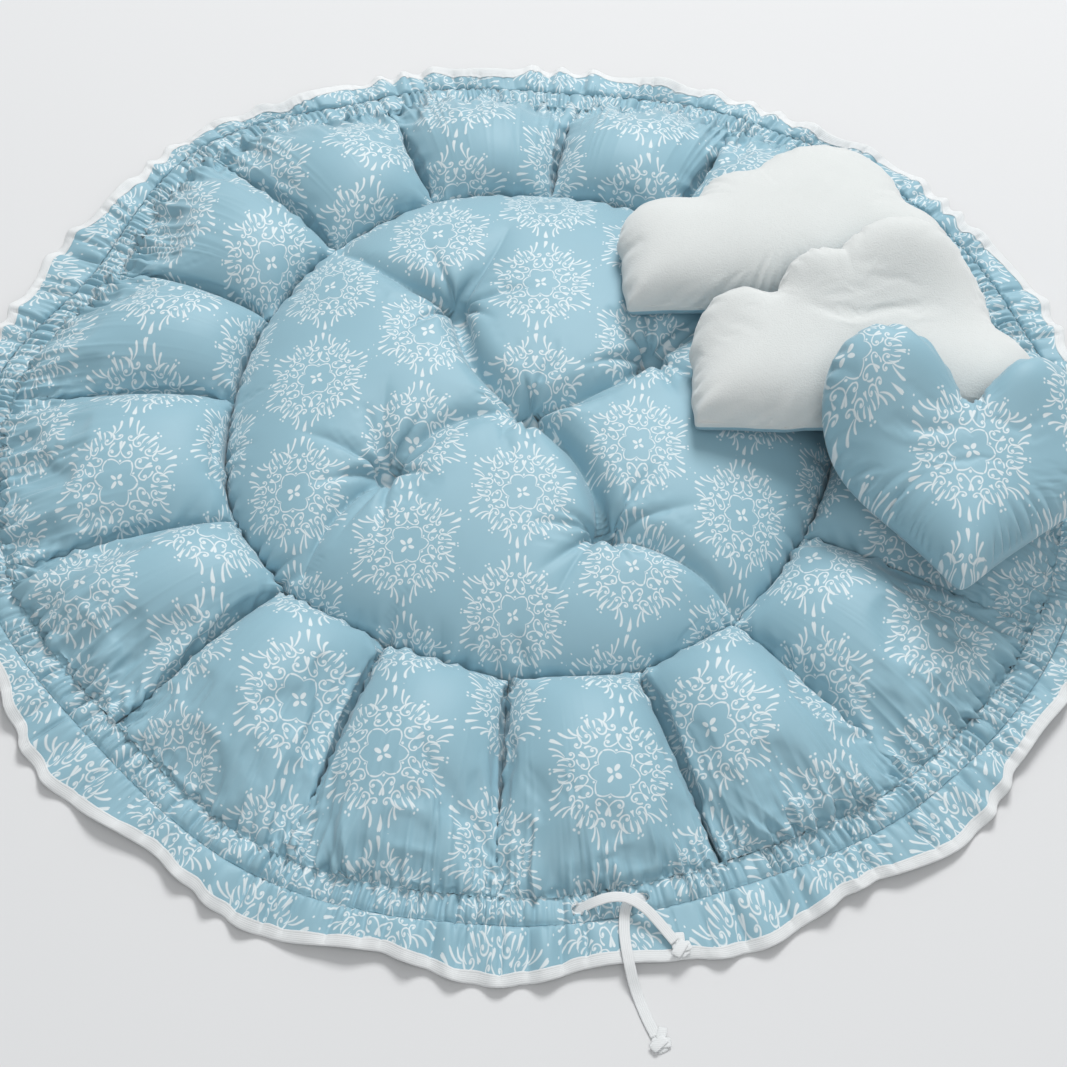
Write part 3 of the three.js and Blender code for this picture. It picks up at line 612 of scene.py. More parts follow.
def profile_run(sizes, share):
    """Length of the centre's profile from the middle, and its whole length to the rim."""
    line = np.linspace(0, 1, 400)
    rise = (1 - line ** 3) ** 0.46 * sizes.centre_crown
    profile = np.concatenate([[0], np.cumsum(np.hypot(np.diff(line) * sizes.ring_radius, np.diff(rise)))])
    return np.interp(share, line, profile), profile[-1]


def centre_layout(sizes, points, share):
    """Cloth coordinates of the centre: the flat radius is the profile's own length, the eased one at the rim."""
    run, whole = profile_run(sizes, share)
    plan = np.maximum(np.hypot(points[..., 0], points[..., 1]), 1e-9)
    return points[..., :2] * (run / whole * sizes.ring_radius * FLAT_EASE / plan)[..., None]


class LOUNGER_OT_quilt_top(bpy.types.Operator):
    """Makes the tufted centre cushion and the petals round it"""

    bl_idname = "lounger.quilt_top"
    bl_label = "Quilted Top"

    def execute(self, context):
        sizes = context.scene.lounger_sizes
        across, outward = np.meshgrid(eased(PETAL_CLOTH), eased(PETAL_CLOTH))
        patches = [petal_surface(sizes, petal, across, outward) for petal in range(PETALS)]
        centre, _ = centre_surface(sizes, CENTRE_CLOTH)
        patches.append(centre)
        pins = [edge_pins(patch) for patch in patches]
        for tx, ty in TUFTS * sizes.ring_radius:
            pins[-1] |= np.hypot(centre[..., 0] - tx, centre[..., 1] - ty) < 0.006
        patches = settle("top", patches, pins, excess=[0.05] * PETALS + [0.012], frames=24)
        steps_across, steps_out = eased(PETAL_ACROSS, 0.45), eased(PETAL_OUT, 0.7)
        across, outward = np.meshgrid(steps_across, steps_out)
        # The simulated grid's places are eased in full, so its row and column numbers go as the arc cosine
        columns, rows = (PETAL_CLOTH * np.arccos(np.clip(1 - 2 * steps, -1, 1)) / np.pi
                         for steps in (steps_across, steps_out))
        for petal, patch in enumerate(patches[:-1]):
            start = petal_surface(sizes, petal, across, outward)
            top = resample(patch, rows, columns)
            fold = self.petal_folds(top, petal) + self.petal_gathers(top, petal + across)
            top = top + grid_normals(top) * fold[..., None]
            self.add_cushion(f"petal_{petal + 1:02d}", top, flat_layout(sizes, petal, start, outward), sizes)
        start, share = centre_surface(sizes, CENTRE_POINTS)
        fine = np.linspace(0, CENTRE_CLOTH - 1, CENTRE_POINTS)
        top = resample(patches[-1], fine, fine)
        top[..., 2] += self.centre_valleys(sizes, top)
        top = top + grid_normals(top) * self.centre_folds(sizes, top, share)[..., None]
        top[..., 2] = np.maximum(top[..., 2], sizes.seam_height - 0.001)
        self.add_cushion("centre_cushion", top, centre_layout(sizes, start, share), sizes)
        return {"FINISHED"}

    def petal_folds(self, top, petal):
        """Folds of a petal: long and short ones at its gathered outer end, and smaller ones at its other seams."""
        across, out = run_along(top, 1), run_along(top, 0)
        wide, long = across[:, -1:], out[-1:]
        middle = across - wide / 2 + 1
        fold = puckers(middle, long - out, 0.3, 24, 100 + petal, (0.025, 0.1), 0.01, width=0.003)
        fold += puckers(middle, long - out, 0.3, 5, 200 + petal, (0.07, 0.15), 0.0075, width=0.009)
        fold += puckers(middle, out, 0.17, 9, 300 + petal, (0.014, 0.06), 0.0062)
        fold += puckers(out, across, 0.27, 15, 400 + petal, (0.012, 0.06), 0.006)
        fold += puckers(out, wide - across, 0.27, 15, 500 + petal, (0.012, 0.06), 0.006)
        return fold * np.minimum(1, np.minimum(across, wide - across) / 0.004)

    def petal_gathers(self, top, place):
        """Tucks that run on from the casing into a petal's outer end and die out as exp(-away / 24 mm), and broader
        ones that die out as exp(-away / 45 mm)."""
        out = run_along(top, 0)
        away = out[-1:] - out
        bend = 5 * away * wander(place, 25, 6, 40, 150)
        lobes = gather_lobes(place + bend / 22, *TUCKS)
        tuck = 0.007 * tuck_swell(place) * (lobes - 0.7) * np.exp(-away / 0.024)
        broad = 0.0085 * (gather_lobes(place - bend / 22, 11, 24, 4.0) - 0.7) * np.exp(-away / 0.045)
        return (tuck + broad) * np.minimum(1, away / 0.002 + 0.35)

    def centre_valleys(self, sizes, top):
        """Creases of the centre, the deepest at each place, as channels with a sharp bottom: -42 mm × depth ×
        (0.66 exp(-d / 3.5 mm) + 0.34 exp(-(d / 11 mm)²)), where d is the distance to the crease."""
        x, y = top[..., 0] / sizes.ring_radius, top[..., 1] / sizes.ring_radius
        total = np.zeros_like(x)
        for crease in CREASES:
            away, along = crease_distance(x, y, crease)
            away = away * sizes.ring_radius
            depth = crease[2] * (1 - along) + crease[3] * along
            channel = 0.66 * np.exp(-away / 0.0035) + 0.34 * np.exp(-(away / 0.011) ** 2)
            total = np.minimum(total, -0.042 * depth * channel)
        return np.maximum(total, -0.72 * np.maximum(top[..., 2] - sizes.seam_height, 0))

    def centre_folds(self, sizes, top, share):
        """Folds of the centre: small ones at its rim and a star at each tuft."""
        run, whole = profile_run(sizes, share)
        angle = np.arctan2(top[..., 1], top[..., 0])
        around = 2 * np.pi * sizes.ring_radius
        fold = puckers((angle + np.pi) * sizes.ring_radius, whole - run, around, 130, 61, (0.014, 0.07), 0.007)
        for number, place in enumerate(TUFTS * sizes.ring_radius):
            fold += star(top[..., 0], top[..., 1], place, 8, 70 + number, (0.045, 0.11), 0.0115)
        return fold

    def add_cushion(self, name, top, cloth, sizes):
        points, faces = closed_below(top, sizes.underside)
        uv = np.concatenate([cloth.reshape(-1, 2), points[cloth.shape[0] * cloth.shape[1]:, :2]])
        piece = make_piece(f"{name}_padding", points, faces, "printed_cotton", uv)
        declare(piece, "mat", name)


# The edge: casing, ruffle and binding

def gather_lobes(place, per_petal, seed, sway=2.2):
    """Rounded tucks with sharp grooves between them: |sin(phase / 2)|^0.5, where the phase wanders a little."""
    phase = 2 * np.pi * per_petal * place + sway * wander(place, seed, 7, 5, 60)
    return np.abs(np.sin(phase / 2)) ** 0.5


def tuck_swell(place):
    """How strong the fine tucks are at a place: about 1, and from 0.2 to 2."""
    return np.clip(1 + 0.5 * wander(place, 8, 6, 20, 90), 0.2, 2)


def hole_share(sizes, place, beyond):
    """How deep a point lies in a buttonhole, from 0 at its rim to 1 in its middle: 1 - (dx / a)² - (dy / b)²."""
    depth = np.zeros(np.broadcast(place, beyond).shape)
    out = beyond - sizes.casing_width / 2
    for hole in BUTTONHOLES.values():
        along = (place - hole) * PITCH * sizes.end_radius
        depth = np.maximum(depth, 1 - (along / HOLE_HALF[0]) ** 2 - (out / HOLE_HALF[1]) ** 2)
    return depth


def casing_surface(sizes, place, share):
    """Outside of the casing over its width: a low arch with tucks across it that bend and wander along the ring.

    Level of the arch: from the petals' seam over the crown to the ruffle's seam. Two sets of tucks of different
    lengths lie over each other, and fade to a third at the two stitched lines, which lie in grooves of their own.
    A buttonhole is a well in it: the height falls to the tape's level where the hole's share is over 0."""
    bend = 1.6 * np.sin(np.pi * share) * wander(place, 5, 6, 40, 150) / (2 * np.pi * 24)
    tuck = gather_lobes(place + bend, *TUCKS)
    broad = gather_lobes(place - bend, 13, 4, 4.0)
    beyond = sizes.casing_width * (0.5 - 0.5 * np.cos(np.pi * share))
    ends = INNER_SEAM * (1 - share) + OUTER_SEAM * share
    arch = np.maximum(np.sin(np.pi * share), 0) ** 1.5
    top = sizes.casing_height - 0.0004 + 0.0014 * wander(place, 12, 5, 8, 40)
    lines = np.exp(-((share - 0.16) / 0.05) ** 2) + np.exp(-((share - 0.84) / 0.05) ** 2)
    folds = 0.0066 * tuck_swell(place) * (tuck - 0.7) + 0.0048 * (broad - 0.75)
    height = ends + (top - ends) * arch + folds * (0.45 + 0.55 * arch) - 0.0007 * lines
    well = np.clip(hole_share(sizes, place, beyond) * 2.2, 0, 1)
    height = height * (1 - well) + WELL_LEVEL * well
    return on_circle(end_seam(sizes, place) + beyond, mat_angle(place, 1.0), height)


def ruffle_middle(sizes, place, out):
    """Middle surface of the ruffle, from the casing's seam (0) to its hem (1).

    Tucks at the seam die out as exp(-out / 0.3), loose folds run over its middle and broad ones grow as out^0.9;
    the hem rises between the seams as (1 - cos) / 2 and swings out over them as cos."""
    part = place - np.floor(place)
    seam = end_seam(sizes, place) + sizes.casing_width + 0.0003
    fold = np.sin(2 * np.pi * 4 * place + 2.6 * wander(place, 21, 6, 4, 30))
    swing = sizes.hem_wave * np.cos(2 * np.pi * part) + 0.0022 * fold
    width = sizes.ruffle_width * round_share(RUFFLE_WIDTH, place) + swing
    radius = seam + width * out
    rest = sizes.ruffle_thickness / 2 + 0.0011
    lift = sizes.hem_lift * round_share(HEM_LIFT, place) * (1 - np.cos(2 * np.pi * part)) / 2
    base = OUTER_SEAM * (1 - out) + (rest + lift) * out
    narrow = np.minimum(1, width / 0.045)
    bend = 1.2 * out * wander(place, 15, 6, 40, 120)
    lobes = gather_lobes(place + bend / (2 * np.pi * 20), *TUCKS)
    swell = np.clip(1 + 0.6 * wander(place, 17, 6, 15, 60), 0.1, 2.2)
    tuck = 0.005 * swell * (lobes - 0.5) * np.exp(-out / 0.3) * np.minimum(1, out / 0.05 + 0.4)
    middle = gather_lobes(place - 0.5 * bend / (2 * np.pi * 8), 7, 19, 3.0)
    drape = 0.009 * narrow * (middle - 0.3) * np.sin(np.pi * np.minimum(out, 1) ** 0.6) ** 0.8
    broad = 0.0065 * narrow * (0.5 + 0.5 * fold) ** 1.4 * out ** 0.9
    level = base + tuck + drape + broad
    # Under the ends of the drawstring the ruffle lies flat
    under = np.exp(-((np.abs(place - 0.66) / 0.24) ** 4))
    level = level * (1 - under) + np.minimum(level, 0.0118 - 0.003 * out) * under
    return on_circle(radius, mat_angle(place, 1.0), np.maximum(level, rest + 0.0004))


def ring_cloth(points, offset):
    """Cloth coordinates of a band round the mat: its length round the ring, and its length across, counted on
    from the offset."""
    around = np.linalg.norm(np.diff(points, axis=0, append=points[:1]), axis=-1).mean(axis=1)
    along = np.concatenate([[0], np.cumsum(around)[:-1]])
    across = np.linalg.norm(np.diff(points, axis=1), axis=-1).mean(axis=0)
    width = np.concatenate([[0], np.cumsum(across)]) + offset
    return paired(along[:, None], width[None])


def band(name, points, material, offset=0.0):
    """A closed band: rows go round the ring and columns once round its closed section."""
    rows, columns = points.shape[:2]
    quads = grid_quads(rows, columns, close_columns=True, close_rows=True)
    cloth = ring_cloth(points, offset)
    piece = make_piece(name, points, [quads], material, cloth)
    # The last row's faces lead back to the first row, so their cloth coordinates go on and don't jump back
    layer = piece.data.uv_layers["cloth"].data
    uv = np.empty(len(layer) * 2, dtype=np.float32)
    layer.foreach_get("uv", uv)
    uv = uv.reshape(-1, 4, 2)
    total = cloth[-1, 0, 0] + np.linalg.norm(points[-1] - points[0], axis=-1).mean()
    uv[-columns:, 2:, 0] += total
    around = cloth[0, -1, 1] + np.linalg.norm(points[:, -1] - points[:, 0], axis=-1).mean()
    wrap = np.arange(rows) * columns + columns - 1
    uv[wrap, 1:3, 1] = around
    layer.foreach_set("uv", uv.ravel())
    return piece


class LOUNGER_OT_edge(bpy.types.Operator):
    """Makes the gathered casing, the ruffle and the binding on its hem"""

    bl_idname = "lounger.edge"
    bl_label = "Casing, Ruffle and Binding"

    def execute(self, context):
        sizes = context.scene.lounger_sizes
        self.casing(sizes)
        self.ruffle(sizes)
        return {"FINISHED"}

    def casing(self, sizes):
        """The tunnel: its outside as an arch, closed by its inside 3.6 mm beneath."""
        place = round_mat(CASING_STEPS)
        outside = casing_surface(sizes, place, np.linspace(0, 1, 21)[None])
        foot = outside[:, [-1, 0]]
        foot[..., 2] = sizes.underside
        inner = casing_surface(sizes, place, np.array([0.8, 0.5, 0.2])[None])
        inner[..., 2] = np.maximum(sizes.underside, inner[..., 2] - 0.0036)
        points = np.concatenate([outside, foot[:, :1], inner, foot[:, 1:]], axis=1)
        piece = band("drawstring_casing_cloth", points, "printed_cotton", offset=0.64)
        declare(piece, "mat", "drawstring_casing")

    def ruffle(self, sizes):
        """The ruffle as one thin closed sheet, and the binding as a folded strip over its edge."""
        place = round_mat(RUFFLE_STEPS)
        half = sizes.ruffle_thickness / 2
        over = ruffle_middle(sizes, place, np.linspace(0, 0.97, 21)[None])
        under = ruffle_middle(sizes, place, np.linspace(0.97, 0, 8)[None])
        over[..., 2] += half
        under[..., 2] -= half
        sheet = band("ruffle_cloth", np.concatenate([over, under], axis=1), "printed_cotton", offset=0.7)
        declare(sheet, "mat", "ruffle")

        hem = ruffle_middle(sizes, place, np.ones((1, 1)))
        radius = np.hypot(hem[..., 0], hem[..., 1])
        seam = end_seam(sizes, place) + sizes.casing_width
        lip = ruffle_middle(sizes, place, 1 - sizes.binding_width / (radius - seam))
        # The folded strip's section: the share of its way from the lip to the hem, and the height in millimetres
        section = np.array([
            (0.0, 0.8), (0.01, 1.2), (0.08, 1.35), (0.16, 1.1), (0.3, 1.3), (0.6, 1.4), (0.9, 1.3), (0.99, 0.8),
            (1.01, 0.0), (0.99, -0.8), (0.9, -1.25), (0.5, -1.3), (0.08, -1.3), (0.01, -1.15), (0.0, -0.8),
            (0.88, -0.72), (0.88, 0.72),
        ])
        along, off = section[:, 0][None, :, None], section[:, 1][None, :, None] * 0.001
        way = hem - lip
        wave = 1 + 0.14 * wander(place, 33, 8, 60, 220)[..., None]
        slope = way / np.linalg.norm(way, axis=-1, keepdims=True)
        outwards = on_circle(1.0, mat_angle(place, 1.0), 0.0)
        lean = (slope * outwards).sum(-1, keepdims=True)
        up = np.concatenate([-outwards[..., :2] * slope[..., 2:], lean], axis=-1)
        points = lip + way * along + up * off * wave
        points[..., 2] = np.maximum(points[..., 2], 0.0)
        binding = band("hem_binding_cloth", points, "white_tape")
        declare(binding, "mat", "hem_binding")


class LOUNGER_OT_backing(bpy.types.Operator):
    """Makes the plain backing cloth under the stuffed pieces"""

    bl_idname = "lounger.backing"
    bl_label = "Backing"

    def execute(self, context):
        sizes = context.scene.lounger_sizes
        place = round_mat(BACKING_STEPS)
        rim = end_seam(sizes, place) + sizes.casing_width
        side = 36
        share = np.concatenate([np.linspace(0.02, 1, side), [1.0], np.linspace(1, 0.02, side)])[None]
        quilted = 0.0006 * np.sin(16 * np.pi * share * rim / sizes.end_radius) ** 2
        height = np.where(np.arange(2 * side + 1)[None] < side, 0.0, BACKING_THICKNESS - quilted)
        height[:, side] = 0.0008
        points = on_circle(rim * share, mat_angle(place, 1.0), height)
        rows, columns = points.shape[:2]
        flat = np.concatenate([points.reshape(-1, 3), [[0, 0, 0], [0, 0, BACKING_THICKNESS]]])
        first = np.arange(rows) * columns
        faces = [grid_quads(rows, columns, close_rows=True), fan(first, rows * columns),
                 fan(first + columns - 1, rows * columns + 1)]
        piece = make_piece("backing_cloth_sheet", flat, faces, "plain_cotton", flat[:, :2])
        declare(piece, "mat", "backing_cloth")
        return {"FINISHED"}


# The drawstring

def smooth_route(route, steps):
    """Points on a smooth curve through the route: a centripetal Catmull-Rom spline, its knots spaced by the root
    of the distance between the points, sampled evenly by its length."""
    ends = np.concatenate([[2 * route[0] - route[1]], route, [2 * route[-1] - route[-2]]])
    knots = np.concatenate([[0], np.cumsum(np.linalg.norm(np.diff(ends, axis=0), axis=1) ** 0.5)])
    t = np.linspace(knots[1], knots[-2], 2000, endpoint=False)
    i = np.searchsorted(knots, t, side="right") - 1
    times = [knots[i + k][:, None] for k in (-1, 0, 1, 2)]
    level = [ends[i + k] for k in (-1, 0, 1, 2)]
    t = t[:, None]
    # Each level blends neighbours evenly in time: over one knot, then over two, and over the middle knot at last
    for spans in (((0, 1), (1, 2), (2, 3)), ((0, 2), (1, 3)), ((1, 2),)):
        level = [(times[b] - t) / (times[b] - times[a]) * first + (t - times[a]) / (times[b] - times[a]) * second
                 for (a, b), first, second in zip(spans, level, level[1:])]
    curve = np.concatenate([level[0], route[-1:]])
    run = run_along(curve, 0)
    even = np.linspace(0, run[-1], steps)
    return np.stack([np.interp(even, run, curve[:, k]) for k in range(3)], axis=-1), run[-1]


def squared(value, power):
    """A sine or cosine drawn towards -1 and 1: its sign × its size^power."""
    return np.sign(value) * np.abs(value) ** power


def tape_piece(name, line, crosswise, width, thickness):
    """A flat tape along a line: a flat section with rounded edges, kept level where the line lies flat.

    The section's width runs along (-ty, tx, 0) + crosswise × tz², squared up to the tangent t."""
    tangent = np.gradient(line, axis=0)
    tangent /= np.linalg.norm(tangent, axis=1, keepdims=True)
    side = np.stack([-tangent[:, 1], tangent[:, 0], np.zeros(len(line))], axis=-1)
    side = side + crosswise * tangent[:, 2:] ** 2
    side -= tangent * (side * tangent).sum(1, keepdims=True)
    side /= np.linalg.norm(side, axis=1, keepdims=True)
    face = np.cross(tangent, side)
    turn = full_turn(28)
    x = squared(np.cos(turn), 0.35) * width / 2
    z = squared(np.sin(turn), 0.5) * thickness / 2
    # A soft roll: the tape's edges lie a little lower than its middle
    z = z + 0.1 * thickness * np.cos(np.pi * x / width)
    points = line[:, None] + side[:, None] * x[None, :, None] + face[:, None] * z[None, :, None]
    rows, columns = points.shape[:2]
    flat = np.concatenate([points.reshape(-1, 3), line[:1], line[-1:]])
    run = run_along(line, 0)
    uv = np.concatenate([paired(run[:, None], x[None]).reshape(-1, 2), [[0, 0], [run[-1], 0]]])
    return make_piece(name, flat, capped_tube(rows, columns), "white_tape", uv)


def knot_piece(name, middle, heading, level):
    """A flat folded knot: three bands of tape across each other at 72 degrees, and the tape's short cut end.

    A band is a slab whose outline and thickness are rounded by powers of cosine and sine."""
    around, levels = 32, 7
    turn = full_turn(around)[None]
    rise = np.linspace(-1, 1, levels)[:, None]
    round_off = np.sqrt(1 - (0.96 * rise) ** 2) ** 0.35
    shapes, faces = [], []
    # Each slab's turn in degrees, half its length and width, its shift and the layer it lies in
    slabs = [(0, 0.0086, 0.0048, 0.0, 0.0), (72, 0.0086, 0.0048, 0.0014, 1.0), (-72, 0.0086, 0.0048, 0.0014, 2.0),
             (144, 0.0068, 0.0044, 0.0088, 0.7)]
    for number, (degrees, half_length, half_width, shift, layer) in enumerate(slabs):
        x = squared(np.cos(turn), 0.3) * half_length * round_off + shift
        y = squared(np.sin(turn), 0.3) * half_width * round_off
        z = rise * 0.0009 + layer * 0.0015 + 0.0009 - 12 * (x - shift) ** 2 * (0.4 + 0.3 * layer)
        angle = heading + math.radians(degrees)
        px, py = rotate(x, y, angle, middle)
        px, py, z = np.broadcast_arrays(px, py, np.maximum(z, 0.00005) + level)
        slab = np.stack([px, py, z], axis=-1).reshape(-1, 3)
        caps = np.array([slab[:around].mean(axis=0), slab[-around:].mean(axis=0)])
        shapes.append(np.concatenate([slab, caps]))
        faces += capped_tube(levels, around, first=number * (len(slab) + 2))
    points = np.concatenate(shapes)
    return make_piece(name, points, faces, "white_tape", points[:, :2] - middle[:2])


class LOUNGER_OT_drawstring(bpy.types.Operator):
    """Makes the drawstring, its two ends, their knots and the stitched rims of the buttonholes"""

    bl_idname = "lounger.drawstring"
    bl_label = "Drawstring"

    def execute(self, context):
        sizes = context.scene.lounger_sizes
        self.loop(sizes)
        self.rims(sizes)
        for side in BUTTONHOLES:
            self.tail(sizes, side)
        return {"FINISHED"}

    def loop(self, sizes):
        """The stretch inside the casing, from one buttonhole round to the other."""
        place = np.linspace(BUTTONHOLES["right"] + LOOP_END, PETALS + BUTTONHOLES["left"] - LOOP_END, 400)
        radius = end_seam(sizes, place) + sizes.casing_width / 2
        line = on_circle(radius, mat_angle(place, 1.0), sizes.underside + sizes.tape_thickness / 2)
        piece = tape_piece("drawstring_loop_tape", line, np.zeros(3), sizes.tape_width, sizes.tape_thickness)
        declare(piece, "mat", "drawstring_loop")

    def tail(self, sizes, side):
        """One end outside the casing, with its knot."""
        hole = np.array(BUTTONHOLES[side])
        angle = float(mat_angle(hole, 1.0))
        middle = end_seam(sizes, hole) + sizes.casing_width / 2
        route = on_circle(middle, angle, 0.0) + ROUTES[side]
        line, run = smooth_route(route, 120)
        crosswise = (1 if side == "right" else -1) * np.array([math.cos(angle), math.sin(angle), 0.0])
        piece = tape_piece(f"drawstring_tail_{side}_tape", line, crosswise, sizes.tape_width, sizes.tape_thickness)
        before, end = route[-2], route[-1]
        heading = math.atan2(end[1] - before[1], end[0] - before[0])
        # The tape ends 0.3 mm before the flat side of a five-sided knot that reaches 9 mm to its corners
        reach = 0.009 * math.cos(math.pi / 5) + 0.0003
        middle = end + reach * np.array([math.cos(heading), math.sin(heading), 0.0])
        level = max(0.0003, end[2] - 0.0025)
        knot = knot_piece(f"drawstring_knot_{side}_tape", middle, heading, level)
        declare(piece, "mat", f"drawstring_tail_{side}")
        declare(knot, "mat", f"drawstring_knot_{side}")

    def rims(self, sizes):
        """Satin stitches round the two buttonholes: a ring on an ellipse whose wall bulges as |sin(26 t)|."""
        turn, wall = full_turn(312)[:, None], full_turn(10)[None]
        for side, hole in BUTTONHOLES.items():
            thick = 0.0012 * (0.8 + 0.35 * np.abs(np.sin(26 * turn)))
            along = np.cos(turn) * (RIM_HALF[0] + thick * np.cos(wall))
            out = np.sin(turn) * (RIM_HALF[1] + thick * np.cos(wall)) + sizes.casing_width / 2
            place = hole + along / (PITCH * sizes.end_radius)
            share = np.arccos(np.clip(1 - 2 * out / sizes.casing_width, -1, 1)) / np.pi
            points = casing_surface(sizes, place, share)
            arch = np.maximum(np.sin(np.pi * share), 0) ** 0.6
            level = sizes.underside + (sizes.casing_height - 0.0022 - sizes.underside) * arch
            points[..., 2] = level + 0.0006 + thick * 0.7 * np.sin(wall)
            rim = make_piece(f"buttonhole_{side}", points, [grid_quads(*points.shape[:2], True, True)], "white_tape",
                             paired(turn * 0.006, wall * 0.001))
            declare(rim, "mat", None)


# The pillows

def cloud_edge(sizes, angle):
    """Outline of a cloud: from its middle to the farthest lobe at that angle, evened out over a few degrees, with
    a slight wobble, and cut straight along the bottom."""
    turn = np.linspace(-np.pi, np.pi, 720, endpoint=False)
    dx, dy = np.cos(turn), np.sin(turn)
    reach = np.zeros_like(turn)
    for x, y, radius in CLOUD_LOBES:
        along = (x - CLOUD_MIDDLE[0]) * dx + (y - CLOUD_MIDDLE[1]) * dy
        aside = (x - CLOUD_MIDDLE[0]) * dy - (y - CLOUD_MIDDLE[1]) * dx
        chord = np.sqrt(np.maximum(radius ** 2 - aside ** 2, 0))
        reach = np.where(np.abs(aside) < radius, np.maximum(reach, along + chord), reach)
    reach = np.interp(angle, turn, blurred(reach, 9, 3.5), period=2 * np.pi)
    dx, dy = np.cos(angle), np.sin(angle)
    wobble = 1 + 0.0035 * (np.sin(23 * angle) + np.sin(37 * angle + 1))
    bottom = CLOUD_MIDDLE[1] - 0.02 - 0.004 * np.sin(11 * angle)
    reach = np.where(dy < 0, np.minimum(reach, bottom / np.maximum(-dy, 1e-9)), reach) * wobble
    return reach * dx * sizes.cloud_width, reach * dy * sizes.cloud_width


def heart_edge(sizes, angle):
    """Outline of a heart, read at an angle round its middle from the curve x = 0.7 sin³ + 0.3 sin and
    y = 13 cos - 5 cos 2 - 2 cos 3 - cos 4."""
    turn = np.linspace(0, 2 * np.pi, 2001)
    x = sizes.heart_width / 2 * (0.7 * np.sin(turn) ** 3 + 0.3 * np.sin(turn))
    tall = 13 * np.cos(turn) - 5 * np.cos(2 * turn) - 2 * np.cos(3 * turn) - np.cos(4 * turn)
    y = sizes.heart_height * (tall + 2.5) / 28.9
    found, reach = np.arctan2(y, x), np.hypot(x, y)
    order = np.argsort(found)
    reach = np.interp(angle, found[order], reach[order], period=2 * np.pi)
    return reach * np.cos(angle), reach * np.sin(angle)


def fullness(edge_points, x, y):
    """Share of its thickness that a pillow has at places within its outline, from 0 at the seam to 1.

    The distance from the seam is taken smoothly as root(2 / I), where I sums ds / r^3 over the outline, and the
    share is (2 t - t²)^0.58 of that distance over its largest value."""
    after = np.roll(edge_points, -1, axis=0)
    middle = (edge_points + after) / 2
    piece = np.linalg.norm(after - edge_points, axis=1)
    total = np.zeros_like(x)
    for (mx, my), ds in zip(middle, piece):
        total += ds / ((x - mx) ** 2 + (y - my) ** 2 + 1e-9) ** 1.5
    away = np.sqrt(2 / total)
    t = np.clip(away / away.max(), 0, 1)
    return (2 * t - t * t) ** 0.58


class Ground:
    """Heights on a raster over the pillows' corner of the mat, read back between its points."""

    STEP = 0.004

    def __init__(self):
        self.x = np.arange(0.0, 0.68, self.STEP)
        self.y = np.arange(-0.34, 0.44, self.STEP)
        self.heights = None

    def at(self, x, y):
        """Height at places, by bilinear interpolation."""
        i = np.clip((x - self.x[0]) / self.STEP, 0, len(self.x) - 1.001)
        j = np.clip((y - self.y[0]) / self.STEP, 0, len(self.y) - 1.001)
        a, b = np.floor(i).astype(int), np.floor(j).astype(int)
        u, v = i - a, j - b
        h = self.heights
        return ((h[b, a] * (1 - u) + h[b, a + 1] * u) * (1 - v) + (h[b + 1, a] * (1 - u) + h[b + 1, a + 1] * u) * v)


def draped_over(beneath, mat_level):
    """Ground of a limp pillow: the tops beneath it, spread by 24 mm and then blurred over about 60 mm."""
    ground = Ground()
    high = np.maximum.reduce([np.full((len(ground.y), len(ground.x)), mat_level)] + beneath)
    cells = int(0.024 / Ground.STEP)
    spread = high
    for i in range(-cells, cells + 1):
        for j in range(-cells, cells + 1):
            if i * i + j * j <= cells * cells:
                spread = np.maximum(spread, np.roll(high, (i, j), axis=(0, 1)))
    for axis in (0, 1):
        spread = blurred(spread, 20, 0.032 / Ground.STEP, axis)
    ground.heights = spread
    return ground


